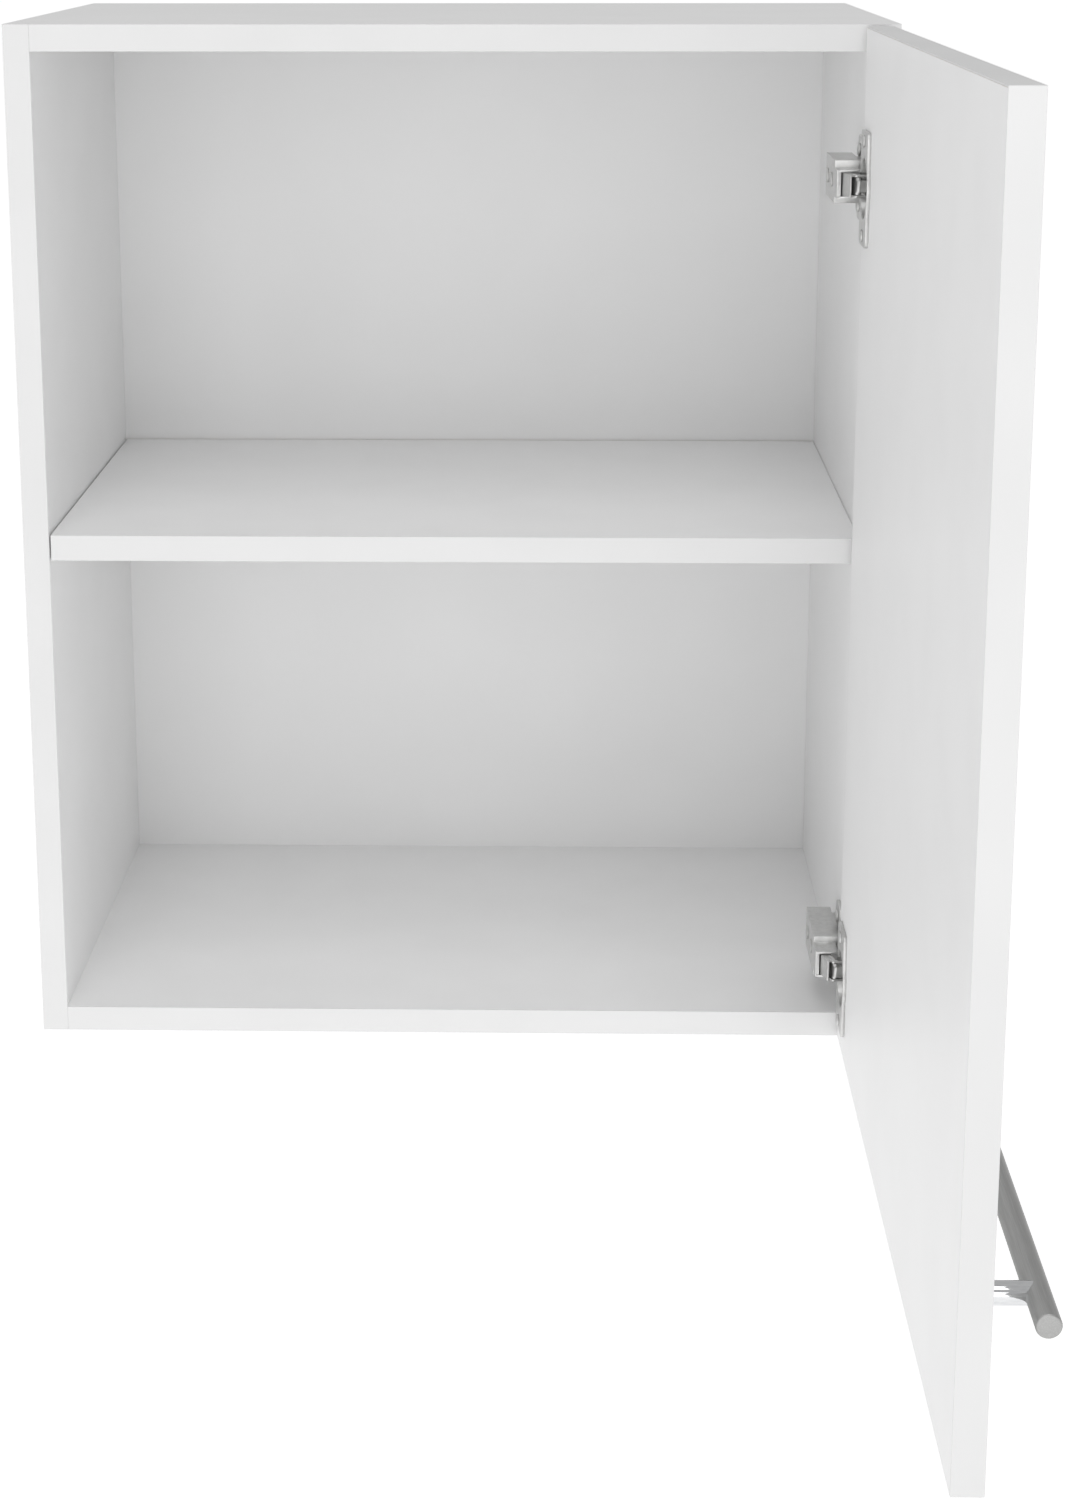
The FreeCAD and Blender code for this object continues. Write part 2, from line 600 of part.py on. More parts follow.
def link_plate(points, radii, z_range):
    """Flat link through points, as wide at each point as twice its radius there."""
    z_low, z_high = z_range
    shapes = [rod((*point, z_low), (0, 0, 1), radius, z_high - z_low) for point, radius in zip(points, radii)]
    for index in range(len(points) - 1):
        start, end = points[index], points[index + 1]
        angle = math.atan2(end[1] - start[1], end[0] - start[0])
        side = (-math.sin(angle), math.cos(angle))
        outline = []
        for point, reach in ((start, radii[index]), (end, radii[index + 1]),
                             (end, -radii[index + 1]), (start, -radii[index])):
            outline.append((point[0] + reach * side[0], point[1] + reach * side[1]))
        shapes.append(slab(outline, z_low, z_high))
    return fuse(shapes)


def beside(start, end, share, offset):
    """Point a share of the way from start to end, moved sideways, to the right of the way."""
    length = math.hypot(end[0] - start[0], end[1] - start[1])
    along = ((end[0] - start[0]) / length, (end[1] - start[1]) / length)
    x = start[0] + along[0] * length * share + along[1] * offset
    y = start[1] + along[1] * length * share - along[0] * offset
    return (x, y)


def outer_link(height):
    """Cranked link from the arm's rear pivot to the cup pin, broad as far as its elbow."""
    points = [place(OUTER_PIVOT), place(OUTER_ELBOW), place(OUTER_CUP_PIN)]
    core = (height - LINK_CORE, height + LINK_CORE)
    bar = link_plate(points, [LINK_END, LINK_ELBOW, LINK_TIP], core)
    broad_end = beside(points[0], points[1], LINK_BROAD_SHARE, 0)
    broad_radius = LINK_END + (LINK_ELBOW - LINK_END) * LINK_BROAD_SHARE
    low = height - LUG_OUTER
    broad = link_plate([points[0], broad_end], [LINK_END, broad_radius], (low, height + LUG_OUTER))
    holes = [
        rod((*points[0], low), (0, 0, 1), ARM_PIN_RADIUS + PIN_PLAY, 2 * LUG_OUTER),
        rod((*points[-1], low), (0, 0, 1), CUP_PIN_RADIUS + PIN_PLAY, 2 * LUG_OUTER),
    ]
    return cut(fuse([bar, broad]), holes)


def inner_link(height):
    """Cranked channel from the arm's front pivot to the cup: two cheeks and a web on the cabinet side."""
    elbow = place(INNER_ELBOW)
    tip = beside(elbow, place(INNER_CUP_PIN), INNER_TIP_SHARE, 0)
    points = [place(INNER_PIVOT), elbow, tip]
    web_ends = [beside(points[0], points[1], share, LINK_WEB_OFFSET) for share in LINK_WEB_SHARES]
    fillet = [beside(points[0], points[1], share, 0) for share in LINK_WEB_SHARES]
    shapes = []
    for low in (height - CHEEK_OUTER, height + CHEEK_INNER):
        cheek = link_plate(points, [LINK_END, LINK_ELBOW, INNER_TIP_RADIUS], (low, low + LINK_CHEEK))
        flap = slab([fillet[0], fillet[1], web_ends[1], web_ends[0]], low, low + LINK_CHEEK)
        hole = rod((*points[0], low), (0, 0, 1), ARM_PIN_RADIUS + PIN_PLAY, LINK_CHEEK)
        shapes.append(fuse([cheek, flap]).cut(hole))
    half = LINK_CHEEK / 2
    shapes.append(link_plate(web_ends, [half, half], (height - CHEEK_OUTER, height + CHEEK_OUTER)))
    return fuse(shapes)


def arm_pins():
    """Pins in the arms: a long one for each outer link and two short ones for each inner link."""
    pins = []
    outer = place(OUTER_PIVOT)
    inner = place(INNER_PIVOT)
    for height in HINGE_HEIGHTS.values():
        pins.append(rod((*outer, height - NOSE_OUTER), (0, 0, 1), ARM_PIN_RADIUS, 2 * NOSE_OUTER))
        short = NOSE_OUTER - CHEEK_INNER
        pins.append(rod((*inner, height - NOSE_OUTER), (0, 0, 1), ARM_PIN_RADIUS, short))
        pins.append(rod((*inner, height + CHEEK_INNER), (0, 0, 1), ARM_PIN_RADIUS, short))
    return Part.makeCompound(pins)


def hinge_arm(height):
    """Folded sheet arm: a narrow nose with two cheeks, then a wider channel over the mounting plate."""
    top = INNER_RIGHT + ARM_TOP
    nose = FRONT + ARM_NOSE
    shoulder = FRONT + ARM_SHOULDER
    back = nose + ARM_LENGTH
    roof = (top, top + ARM_SHEET)
    shapes = [
        box(roof, (nose + LINK_END, shoulder + ARM_SHEET), (height - NOSE_OUTER, height + NOSE_OUTER)),
        box(roof, (shoulder, back), (height - ARM_HALF_WIDTH, height + ARM_HALF_WIDTH)),
        box((top, top + ARM_LIP), (nose + LINK_END - ARM_SHEET, nose + LINK_END),
            (height - NOSE_OUTER, height + NOSE_OUTER)),
    ]
    for side in (-1, 1):
        nose_z = sorted((height + side * NOSE_INNER, height + side * NOSE_OUTER))
        edge = INNER_RIGHT + ARM_EDGE
        cheek = box((top, edge), (nose, shoulder + ARM_SHEET), nose_z)
        shapes.append(round_front(cheek))
        wide_z = sorted((height + side * (ARM_HALF_WIDTH - ARM_SHEET), height + side * ARM_HALF_WIDTH))
        shapes.append(box((top, INNER_RIGHT + ARM_FOOT), (shoulder, back), wide_z))
        web_z = sorted((height + side * NOSE_INNER, height + side * ARM_HALF_WIDTH))
        shapes.append(box((top, INNER_RIGHT + ARM_FOOT), (shoulder, shoulder + ARM_SHEET), web_z))
    tools = []
    for pivot in (OUTER_PIVOT, INNER_PIVOT):
        tools.append(rod((*place(pivot), height - NOSE_OUTER), (0, 0, 1), ARM_PIN_RADIUS, 2 * NOSE_OUTER))
    for y in (ARM_SCREW_FRONT, ARM_SCREW_BACK):
        tools.append(rod((top, FRONT + y, height), (1, 0, 0), ARM_SCREW_RADIUS + HOLE_PLAY, ARM_SHEET))
    return cut(fuse(shapes), tools)


def round_front(cheek):
    """A cheek with its two front corners rounded."""
    front = cheek.BoundBox.YMin
    corners = [edge for edge in cheek.Edges
               if abs(edge.BoundBox.YMax - front) < 1e-6 and edge.BoundBox.XLength < 1e-6
               and edge.BoundBox.ZLength > ARM_SHEET / 2]
    return cheek.makeFillet(LINK_END, corners)


def arm_screws():
    """The side adjusting screw and the fixing screw of each arm, with cross slots."""
    screws = []
    top = INNER_RIGHT + ARM_TOP
    for height in HINGE_HEIGHTS.values():
        for y in (ARM_SCREW_FRONT, ARM_SCREW_BACK):
            head = rod((top, FRONT + y, height), (-1, 0, 0), ARM_SCREW_HEAD, ARM_SCREW_HEAD_HEIGHT)
            shank = rod((top, FRONT + y, height), (1, 0, 0), ARM_SCREW_RADIUS, ARM_SCREW_LENGTH)
            screw = fuse([head, shank])
            cross = []
            slot = (ARM_SCREW_SLOT, ARM_SCREW_SLOT_LENGTH)
            for width, length in (slot, slot[::-1]):
                y_range = (FRONT + y - width / 2, FRONT + y + width / 2)
                z_range = (height - length / 2, height + length / 2)
                cross.append(box((top - ARM_SCREW_HEAD_HEIGHT, top), y_range, z_range))
            screws.append(cut(screw, cross))
    return Part.makeCompound(screws)


def hinge_mounting_plate(height):
    """Cross-shaped plate on the side panel, with a block that the arm sits over."""
    face = INNER_RIGHT
    y_middle = FRONT + MOUNT_SETBACK
    half_length = MOUNT_BASE_LENGTH / 2
    half_height = MOUNT_BASE_HEIGHT / 2
    base = box((face - MOUNT_BASE, face), (y_middle - half_length, y_middle + half_length),
               (height - half_height, height + half_height))
    base_corners = [edge for edge in base.Edges if edge.BoundBox.XLength > MOUNT_BASE / 2]
    base = base.makeFillet(half_length / 2, base_corners)
    block = box((face + MOUNT_BLOCK_TOP, face), (FRONT + MOUNT_BLOCK_FRONT, FRONT + MOUNT_BLOCK_BACK),
                (height - MOUNT_BLOCK_HALF, height + MOUNT_BLOCK_HALF))
    tools = []
    for z in mount_screw_heights(height):
        tools.append(rod((face, y_middle, z), (-1, 0, 0), MOUNT_SCREW_RADIUS + HOLE_PLAY, MOUNT_BASE))
    for y in (ARM_SCREW_FRONT, ARM_SCREW_BACK):
        start = face + MOUNT_BLOCK_TOP
        depth = ARM_SCREW_LENGTH
        tools.append(rod((start, FRONT + y, height), (1, 0, 0), ARM_SCREW_RADIUS + HOLE_PLAY, depth))
    return cut(fuse([base, block]), tools)


def mounting_plate_screws():
    """Screws that hold the mounting plates to the side panel."""
    screws = []
    face = INNER_RIGHT - MOUNT_BASE
    for height in HINGE_HEIGHTS.values():
        for z in mount_screw_heights(height):
            start = (face, FRONT + MOUNT_SETBACK, z)
            head = cone(start, (-1, 0, 0), MOUNT_SCREW_HEAD, MOUNT_SCREW_HEAD / 2, MOUNT_SCREW_HEAD_HEIGHT)
            shank = rod(start, (1, 0, 0), MOUNT_SCREW_RADIUS, MOUNT_SCREW_LENGTH)
            screws.append(fuse([head, shank]))
    return Part.makeCompound(screws)


# ---- handle
def handle_bar():
    """Round bar with lightly chamfered ends, level, along the width of the door."""
    start = (HANDLE_X, HANDLE_Y - HANDLE_LENGTH / 2, HANDLE_Z)
    bar = rod(start, (0, 1, 0), HANDLE_RADIUS, HANDLE_LENGTH)
    rims = [edge for edge in bar.Edges if edge.BoundBox.YLength < 1e-6]
    return bar.makeChamfer(BAR_EDGE, rims)


def handle_posts():
    """Two posts from the door to the bar, each hollowed at its end to fit round the bar."""
    posts = []
    bar = rod((HANDLE_X, HANDLE_Y - HANDLE_LENGTH / 2, HANDLE_Z), (0, 1, 0), HANDLE_RADIUS, HANDLE_LENGTH)
    for y in POST_PLACES:
        start = (DOOR_OUTER, y, HANDLE_Z)
        post = rod(start, (1, 0, 0), POST_RADIUS, HANDLE_STANDOFF)
        thread = rod(start, (1, 0, 0), HANDLE_STUD_RADIUS + HOLE_PLAY, STUD_IN_POST + HOLE_PLAY)
        posts.append(cut(post, [bar, thread]))
    return Part.makeCompound(posts)


def handle_studs():
    """Double-ended screws, blind in the door, that the posts are turned onto."""
    studs = []
    for y in POST_PLACES:
        start = (DOOR_OUTER - STUD_IN_DOOR, y, HANDLE_Z)
        studs.append(rod(start, (1, 0, 0), HANDLE_STUD_RADIUS, STUD_IN_DOOR + STUD_IN_POST))
    return Part.makeCompound(studs)


def build():
    """Every node of the cabinet by name."""
    nodes = {
        "side_panel_left": side_panel(LEFT, 1),
        "side_panel_right": side_panel(RIGHT, -1),
        "top_panel": cross_panel(INNER_TOP),
        "bottom_panel": cross_panel(BOTTOM),
        "carcass_edge_bands": carcass_edge_bands(),
        "back_panel": back_panel(),
        "hanging_rail_upper": hanging_rail(RAIL_MIDDLES[0], True),
        "hanging_rail_lower": hanging_rail(RAIL_MIDDLES[1], False),
        "hanger_plates": hanger_plates(),
        "hanger_plate_screws": hanger_plate_screws(),
        "carcass_screws": carcass_screws(),
        "screw_caps": screw_caps(),
        "carcass_dowels": carcass_dowels(),
        "shelf": shelf(),
        "shelf_edge_band": shelf_edge_band(),
        "shelf_pins": shelf_pins(),
        "door_panel": door_panel(),
        "door_edge_bands": door_edge_bands(),
        "cup_pins": cup_pins(),
        "cup_screws": cup_screws(),
        "arm_pins": arm_pins(),
        "arm_screws": arm_screws(),
        "mounting_plate_screws": mounting_plate_screws(),
        "handle_bar": handle_bar(),
        "handle_posts": handle_posts(),
        "handle_studs": handle_studs(),
    }
    for name, height in HINGE_HEIGHTS.items():
        nodes["hinge_cup_" + name] = hinge_cup(height)
        nodes["hinge_arm_" + name] = hinge_arm(height)
        nodes["hinge_mounting_plate_" + name] = hinge_mounting_plate(height)
        nodes["outer_link_" + name] = outer_link(height)
        nodes["inner_link_" + name] = inner_link(height)
    return nodes


def main():
    """Write one STEP file per node."""
    os.makedirs("parts", exist_ok=True)
    for name, shape in build().items():
        shape.exportStep("parts/" + name + ".step")


main()
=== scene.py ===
"""Looks of a white hanging wall cabinet with one shelf and one door on two concealed hinges.

The boards are white melamine with plastic edge bands, raw where they face the wall. The hinges are
nickel-plated pressed steel, and the bar handle is brushed steel on polished posts. Lengths named _MM are
millimetres, and every other length is in metres, in the cabinet's own frame: X to the right of someone
facing it, Y into the wall, Z up.
"""

import logging
import math
from dataclasses import dataclass, field
from enum import Enum
from typing import Callable, Iterable, Sequence

import bmesh
import bpy
from mathutils import Euler, Matrix, Vector


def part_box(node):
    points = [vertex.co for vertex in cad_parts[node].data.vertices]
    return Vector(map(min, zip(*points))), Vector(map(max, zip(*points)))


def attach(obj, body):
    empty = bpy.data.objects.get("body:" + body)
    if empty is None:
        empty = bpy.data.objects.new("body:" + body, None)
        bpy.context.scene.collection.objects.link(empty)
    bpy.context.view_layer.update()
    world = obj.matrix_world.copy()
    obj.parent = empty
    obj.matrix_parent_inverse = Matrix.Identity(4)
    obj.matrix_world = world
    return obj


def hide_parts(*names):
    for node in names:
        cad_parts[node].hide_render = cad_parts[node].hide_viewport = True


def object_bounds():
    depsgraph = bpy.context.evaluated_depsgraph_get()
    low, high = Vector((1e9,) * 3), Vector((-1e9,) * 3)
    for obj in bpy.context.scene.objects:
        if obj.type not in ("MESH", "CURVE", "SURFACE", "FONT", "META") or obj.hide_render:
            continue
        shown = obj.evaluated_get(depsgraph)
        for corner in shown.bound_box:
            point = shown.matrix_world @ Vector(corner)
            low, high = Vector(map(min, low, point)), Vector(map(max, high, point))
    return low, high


MM = 0.001
MERGE = 1e-6          # points nearer than this are one
FLAT_DEG = 0.3        # faces that meet at less than this are one flat face
ON_AXIS = 1e-9        # a turned profile's point nearer to the axis than this lies on it
DOME_STEP_DEG = 15    # between the rings of a domed head or cap
SPIN_SEED = 7
LOG = logging.getLogger("wall_cabinet")
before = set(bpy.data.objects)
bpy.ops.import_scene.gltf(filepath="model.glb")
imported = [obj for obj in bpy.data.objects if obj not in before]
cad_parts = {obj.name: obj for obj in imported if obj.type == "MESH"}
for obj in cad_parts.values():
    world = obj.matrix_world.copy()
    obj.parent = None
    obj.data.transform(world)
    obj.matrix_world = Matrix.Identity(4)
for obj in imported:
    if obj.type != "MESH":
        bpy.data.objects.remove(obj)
CAD_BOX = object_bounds()


class Body(Enum):
    """The rigid bodies that pieces ride on."""

    CABINET = "cabinet"
    DOOR = "door"
    OUTER_LINK_UPPER = "outer_link_upper"
    OUTER_LINK_LOWER = "outer_link_lower"
    INNER_LINK_UPPER = "inner_link_upper"
    INNER_LINK_LOWER = "inner_link_lower"


class Slot(Enum):
    """Names of the record's material slots."""

    WHITE_BOARD = "white_board"
    WHITE_BACKBOARD = "white_backboard"
    EDGE_BAND = "edge_band"
    WHITE_PLASTIC = "white_plastic"
    ZINC_STEEL = "zinc_steel"
    NICKEL_STEEL = "nickel_steel"
    SATIN_STEEL = "satin_steel"


class Head(Enum):
    """Shapes of a screw's head."""

    PAN = "pan"
    COUNTERSUNK = "countersunk"


class Pattern(Enum):
    """Kinds of fine pattern on a surface."""

    GRAIN = "ShaderNodeTexNoise"
    CELLS = "ShaderNodeTexVoronoi"


class Facing(Enum):
    """Which way the top of a repeated piece points, as a turn from straight up."""

    LEFT = (0.0, -math.pi / 2, 0.0)
    RIGHT = (0.0, math.pi / 2, 0.0)
    WALL = (-math.pi / 2, 0.0, 0.0)


# ---------------------------------------------------------------- node and mesh helpers
def linear(hex_colour: str, alpha: float = 1.0) -> tuple[float, float, float, float]:
    """Turn an sRGB hex colour into linear values.

    Args:
        hex_colour: six hex digits, with or without a leading #.
        alpha: the fourth value.

    Returns:
        Red, green, blue and alpha for a shader socket.
    """
    digits = hex_colour.lstrip("#")
    parts = [int(digits[i:i + 2], 16) / 255 for i in (0, 2, 4)]
    values = [c / 12.92 if c <= 0.04045 else ((c + 0.055) / 1.055) ** 2.4 for c in parts]
    return (values[0], values[1], values[2], alpha)


def add_node(tree: bpy.types.NodeTree, kind: str, settings: dict | None = None,
             inputs: dict | None = None) -> bpy.types.Node:
    """Add one node with its settings, constants and links.

    Args:
        tree: the tree that gets the node.
        kind: the node's type name.
        settings: attributes of the node, such as its operation.
        inputs: for each input name or number, a constant, or an output socket to link from.

    Returns:
        The new node.
    """
    node = tree.nodes.new(kind)
    for name, value in (settings or {}).items():
        setattr(node, name, value)
    for name, value in (inputs or {}).items():
        socket = node.inputs[name]
        if isinstance(value, bpy.types.NodeSocket):
            tree.links.new(value, socket)
        else:
            socket.default_value = value
    return node


# ---------------------------------------------------------------- finishes
@dataclass(frozen=True)
class Layer:
    """One pattern of a finish, whose lumps or cells have a real size in millimetres."""

    size_mm: float
    pattern: Pattern = Pattern.GRAIN
    detail: float = 2.0
    stretch: tuple[float, float, float] = (1.0, 1.0, 1.0)
    tones: tuple[tuple[float, str], ...] = ()          # places along the pattern with their colours
    share: float = 1.0                                 # of these colours over the layers before
    roughness: tuple[float, float] | None = None
    relief_mm: float = 0.0
    relief_share: float = 0.5


@dataclass(frozen=True)
class Finish:
    """A real surface: layers of colour, gloss and relief, and what is the same all over it."""

    name: str
    layers: tuple[Layer, ...]
    constants: tuple[tuple[str, object], ...] = ()

    def make(self) -> bpy.types.Material:
        """Build the material.

        Returns:
            The finished material.
        """
        material = bpy.data.materials.new(self.name)
        material.use_nodes = True
        tree = material.node_tree
        tree.nodes.clear()
        place = add_node(tree, "ShaderNodeTexCoord").outputs["Object"]
        surface = dict(self.constants)
        for layer in self.layers:
            mapped = add_node(tree, "ShaderNodeMapping", inputs={
                "Vector": place, "Scale": tuple(1 / s for s in layer.stretch)})
            texture = add_node(tree, layer.pattern.value, inputs={
                "Vector": mapped.outputs["Vector"],
                "Scale": 1 / (layer.size_mm * MM),
                "Detail": layer.detail,
            })
            if layer.pattern is Pattern.CELLS:
                channels = add_node(tree, "ShaderNodeSeparateColor", inputs={
                    "Color": texture.outputs["Color"]})
                tone, height = channels.outputs["Red"], texture.outputs["Distance"]
            else:
                tone = height = texture.outputs["Fac"]
            if layer.tones:
                ramp = add_node(tree, "ShaderNodeValToRGB", inputs={"Fac": tone})
                elements = ramp.color_ramp.elements
                for at, _ in layer.tones[len(elements):]:
                    elements.new(at)
                for element, (at, colour) in zip(elements, layer.tones):
                    element.position = at
                    element.color = linear(colour)
                colour_out = ramp.outputs["Color"]
                if "Base Color" in surface:
                    over = add_node(tree, "ShaderNodeMix", {"data_type": "RGBA"}, {
                        "Factor": layer.share, 6: surface["Base Color"], 7: colour_out})
                    colour_out = over.outputs[2]
                surface["Base Color"] = colour_out
            if layer.roughness:
                gloss = add_node(tree, "ShaderNodeMapRange", inputs={
                    "Value": tone, "To Min": layer.roughness[0], "To Max": layer.roughness[1]})
                surface["Roughness"] = gloss.outputs["Result"]
            if layer.relief_mm:
                relief = add_node(tree, "ShaderNodeBump", inputs={
                    "Height": height, "Distance": layer.relief_mm * MM, "Strength": layer.relief_share})
                surface["Normal"] = relief.outputs["Normal"]
        shader = add_node(tree, "ShaderNodeBsdfPrincipled", inputs=surface)
        add_node(tree, "ShaderNodeOutputMaterial", inputs={"Surface": shader.outputs["BSDF"]})
        return material


@dataclass(frozen=True)
class MelamineBoard(Finish):
    """White melamine film pressed on chipboard: satin, with a fine pearl texture from the press plate."""

    name: str = "white_melamine_film"
    layers: tuple[Layer, ...] = (
        Layer(60.0, tones=((0.35, "#F5F5F5"), (0.65, "#F7F7F7"))),
        # the real pearls are 0.4 mm, drawn coarser so that they show
        Layer(1.1, roughness=(0.37, 0.47), relief_mm=0.012, relief_share=0.6),
    )
    constants: tuple[tuple[str, object], ...] = (("IOR", 1.5),)


@dataclass(frozen=True)
class EdgeBand(Finish):
    """White ABS band glued to the cut edges: a touch greyer than the film, and more even."""

    name: str = "white_abs_edge_band"
    layers: tuple[Layer, ...] = (
        Layer(64.0, detail=1.0, tones=((0.3, "#E2E2E2"), (0.7, "#E5E5E5"))),
        # the roller's faint grain of 0.5 mm, drawn coarser so that it shows
        Layer(1.6, roughness=(0.42, 0.52), relief_mm=0.01),
    )
    constants: tuple[tuple[str, object], ...] = (("IOR", 1.52),)


@dataclass(frozen=True)
class RawChipboard(Finish):
    """Sawn chipboard on the edges that face the wall: pale wood chips of mixed size in darker glue."""

    name: str = "sawn_chipboard"
    layers: tuple[Layer, ...] = (
        Layer(2.6, Pattern.CELLS, 0.0, tones=((0.1, "#8C6B47"), (0.45, "#B4936A"), (0.9, "#D3B68D")),
              relief_mm=0.2, relief_share=0.6),
        Layer(0.7, detail=3.0, tones=((0.35, "#9A7A54"), (0.7, "#E1C9A4")), share=0.35,
              roughness=(0.75, 0.95)),
    )


@dataclass(frozen=True)
class Hardboard(Finish):
    """Bare rear face of the thin back panel: brown pressed fibre, faintly mottled."""

    name: str = "bare_hardboard"
    layers: tuple[Layer, ...] = (
        Layer(14.0, detail=3.0, tones=((0.3, "#8A6544"), (0.7, "#9C7753"))),
        Layer(0.9, detail=4.0, stretch=(3.0, 1.0, 1.0), tones=((0.3, "#7C5A3C"), (0.75, "#B08B63")),
              share=0.4, roughness=(0.6, 0.85), relief_mm=0.06),
    )


@dataclass(frozen=True)
class LacqueredBack(Finish):
    """Front face of the thin back panel: white lacquer, flatter and duller than the melamine film."""

    name: str = "white_lacquered_hardboard"
    layers: tuple[Layer, ...] = (
        Layer(90.0, detail=1.0, tones=((0.3, "#F4F4F4"), (0.7, "#F6F6F6"))),
        # orange peel of the sprayed lacquer
        Layer(2.2, detail=1.0, roughness=(0.5, 0.6), relief_mm=0.015),
    )
    constants: tuple[tuple[str, object], ...] = (("IOR", 1.48),)


@dataclass(frozen=True)
class NickelPlate(Finish):
    """Nickel plating on pressed steel: bright and neutral, with the soft ripple that pressing leaves."""

    name: str = "nickel_plated_steel"
    layers: tuple[Layer, ...] = (
        Layer(3.0, tones=((0.25, "#CBCBCA"), (0.6, "#D6D6D5")), relief_mm=0.02),
        # faint scuffs along the arm
        Layer(0.5, detail=4.0, stretch=(1.0, 4.0, 1.0), roughness=(0.33, 0.45)),
    )
    constants: tuple[tuple[str, object], ...] = (("Metallic", 1.0),)


@dataclass(frozen=True)
class BrushedSteel(Finish):
    """Stainless bar with a fine satin brushing along its length."""

    name: str = "satin_brushed_stainless"
    layers: tuple[Layer, ...] = (
        # the real strokes are 0.1 mm wide, drawn coarser so that they show
        Layer(0.35, detail=3.0, stretch=(1.0, 60.0, 1.0), tones=((0.3, "#A6A6A5"), (0.7, "#B5B5B4")),
              relief_mm=0.012),
        Layer(18.0, roughness=(0.46, 0.55)),
    )
    constants: tuple[tuple[str, object], ...] = (("Metallic", 1.0),)


@dataclass(frozen=True)
class PolishedChrome(Finish):
    """Chrome-plated posts: mirror bright, with very faint polishing swirls."""

    name: str = "polished_chrome_plate"
    layers: tuple[Layer, ...] = (
        Layer(1.5, detail=3.0, stretch=(4.0, 1.0, 1.0), tones=((0.2, "#CDCED0"), (0.6, "#DADBDC")),
              roughness=(0.04, 0.12), relief_mm=0.004, relief_share=0.4),
    )
    constants: tuple[tuple[str, object], ...] = (("Metallic", 1.0),)


@dataclass(frozen=True)
class ZincPlate(Finish):
    """Bright zinc on fixings and keyhole plates: bluish grey with a faint crystal pattern."""

    name: str = "bright_zinc_plate"
    layers: tuple[Layer, ...] = (
        Layer(2.4, Pattern.CELLS, 0.0, tones=((0.0, "#A9AEB3"), (1.0, "#C4C8CB"))),
        Layer(0.6, detail=3.0, roughness=(0.28, 0.42), relief_mm=0.01, relief_share=0.4),
    )
    constants: tuple[tuple[str, object], ...] = (("Metallic", 1.0),)


@dataclass(frozen=True)
class MouldedPlastic(Finish):
    """White polypropylene screw caps: slightly waxy, with the mould's spark texture."""

    name: str = "moulded_white_polypropylene"
    layers: tuple[Layer, ...] = (
        Layer(0.5, tones=((0.3, "#EDEDEA"), (0.7, "#F2F2F0")), roughness=(0.4, 0.55), relief_mm=0.01),
    )
    constants: tuple[tuple[str, object], ...] = (
        ("IOR", 1.49), ("Subsurface Weight", 0.1), ("Subsurface Radius", (0.002, 0.002, 0.002)))


@dataclass(frozen=True)
class BeechWood(Finish):
    """Turned beech dowels: pale pinkish wood with short dark flecks along the grain."""

    name: str = "turned_beech"
    layers: tuple[Layer, ...] = (
        Layer(0.6, detail=3.0, stretch=(8.0, 1.0, 1.0),
              tones=((0.3, "#A97B52"), (0.5, "#CFA57A"), (0.8, "#DAB68E")),
              roughness=(0.55, 0.75), relief_mm=0.05),
    )


@dataclass(frozen=True)
class StudioFloor(Finish):
    """Matt white studio floor, lit a little from below so that it stays pale."""

    name: str = "studio_floor_white"
    layers: tuple[Layer, ...] = (
        Layer(900.0, detail=1.0, tones=((0.3, "#F6F6F6"), (0.7, "#F8F8F8"))),
    )
    constants: tuple[tuple[str, object], ...] = (
        ("Roughness", 0.9), ("Emission Color", (1.0, 1.0, 1.0, 1.0)), ("Emission Strength", 0.51))


class Palette:
    """Makes each finish once and hands it out."""

    def __init__(self) -> None:
        """Start with nothing made."""
        self._made: dict[str, bpy.types.Material] = {}

    def get(self, finish: Finish) -> bpy.types.Material:
        """Material of a finish.

        Args:
            finish: one of the finish classes' instances.

        Returns:
            Its material, made the first time it is asked for.
        """
        if finish.name not in self._made:
            self._made[finish.name] = finish.make()
        return self._made[finish.name]


# ---------------------------------------------------------------- piece helpers
def new_piece(name: str, mesh: bpy.types.Mesh) -> bpy.types.Object:
    """Put a mesh in the scene as an object at the origin.

    Args:
        name: the piece's name.
        mesh: its mesh, already in place.

    Returns:
        The object.
    """
    piece = bpy.data.objects.new(name, mesh)
    bpy.context.scene.collection.objects.link(piece)
    return piece


def baked(piece: bpy.types.Object) -> bpy.types.Object:
    """Turn a piece with modifiers into a plain mesh.

    Args:
        piece: the object with its modifiers.

    Returns:
        The same object, with the result as its mesh and no modifiers.
    """
    graph = bpy.context.evaluated_depsgraph_get()
    mesh = bpy.data.meshes.new_from_object(piece.evaluated_get(graph))
    old = piece.data
    piece.modifiers.clear()
    piece.data = mesh
    mesh.name = piece.name
    if old.users == 0:
        bpy.data.meshes.remove(old)
    return piece


def linked_groups(items: Sequence, neighbours: Callable[[object], Iterable]) -> list[list]:
    """Sort mesh elements into the groups that hang together.

    Args:
        items: vertices or faces of one mesh, in order.
        neighbours: gives the elements next to one.

    Returns:
        The groups, in the order of their first elements.
    """
    left = set(items)
    groups = []
    for start in items:
        if start not in left:
            continue
        left.remove(start)
        group = [start]
        for item in group:
            near = [other for other in neighbours(item) if other in left]
            for other in dict.fromkeys(near):
                left.remove(other)
                group.append(other)
        groups.append(group)
    return groups


def part_solids(work: bmesh.types.BMesh) -> None:
    """Give solids that only touch their own points again, after a merge by distance.

    Args:
        work: the merged mesh.
    """
    groups = linked_groups(work.faces, lambda face: [
        other for edge in face.edges if len(edge.link_faces) == 2 for other in edge.link_faces])
    for group in groups[1:]:
        bmesh.ops.split(work, geom=group)


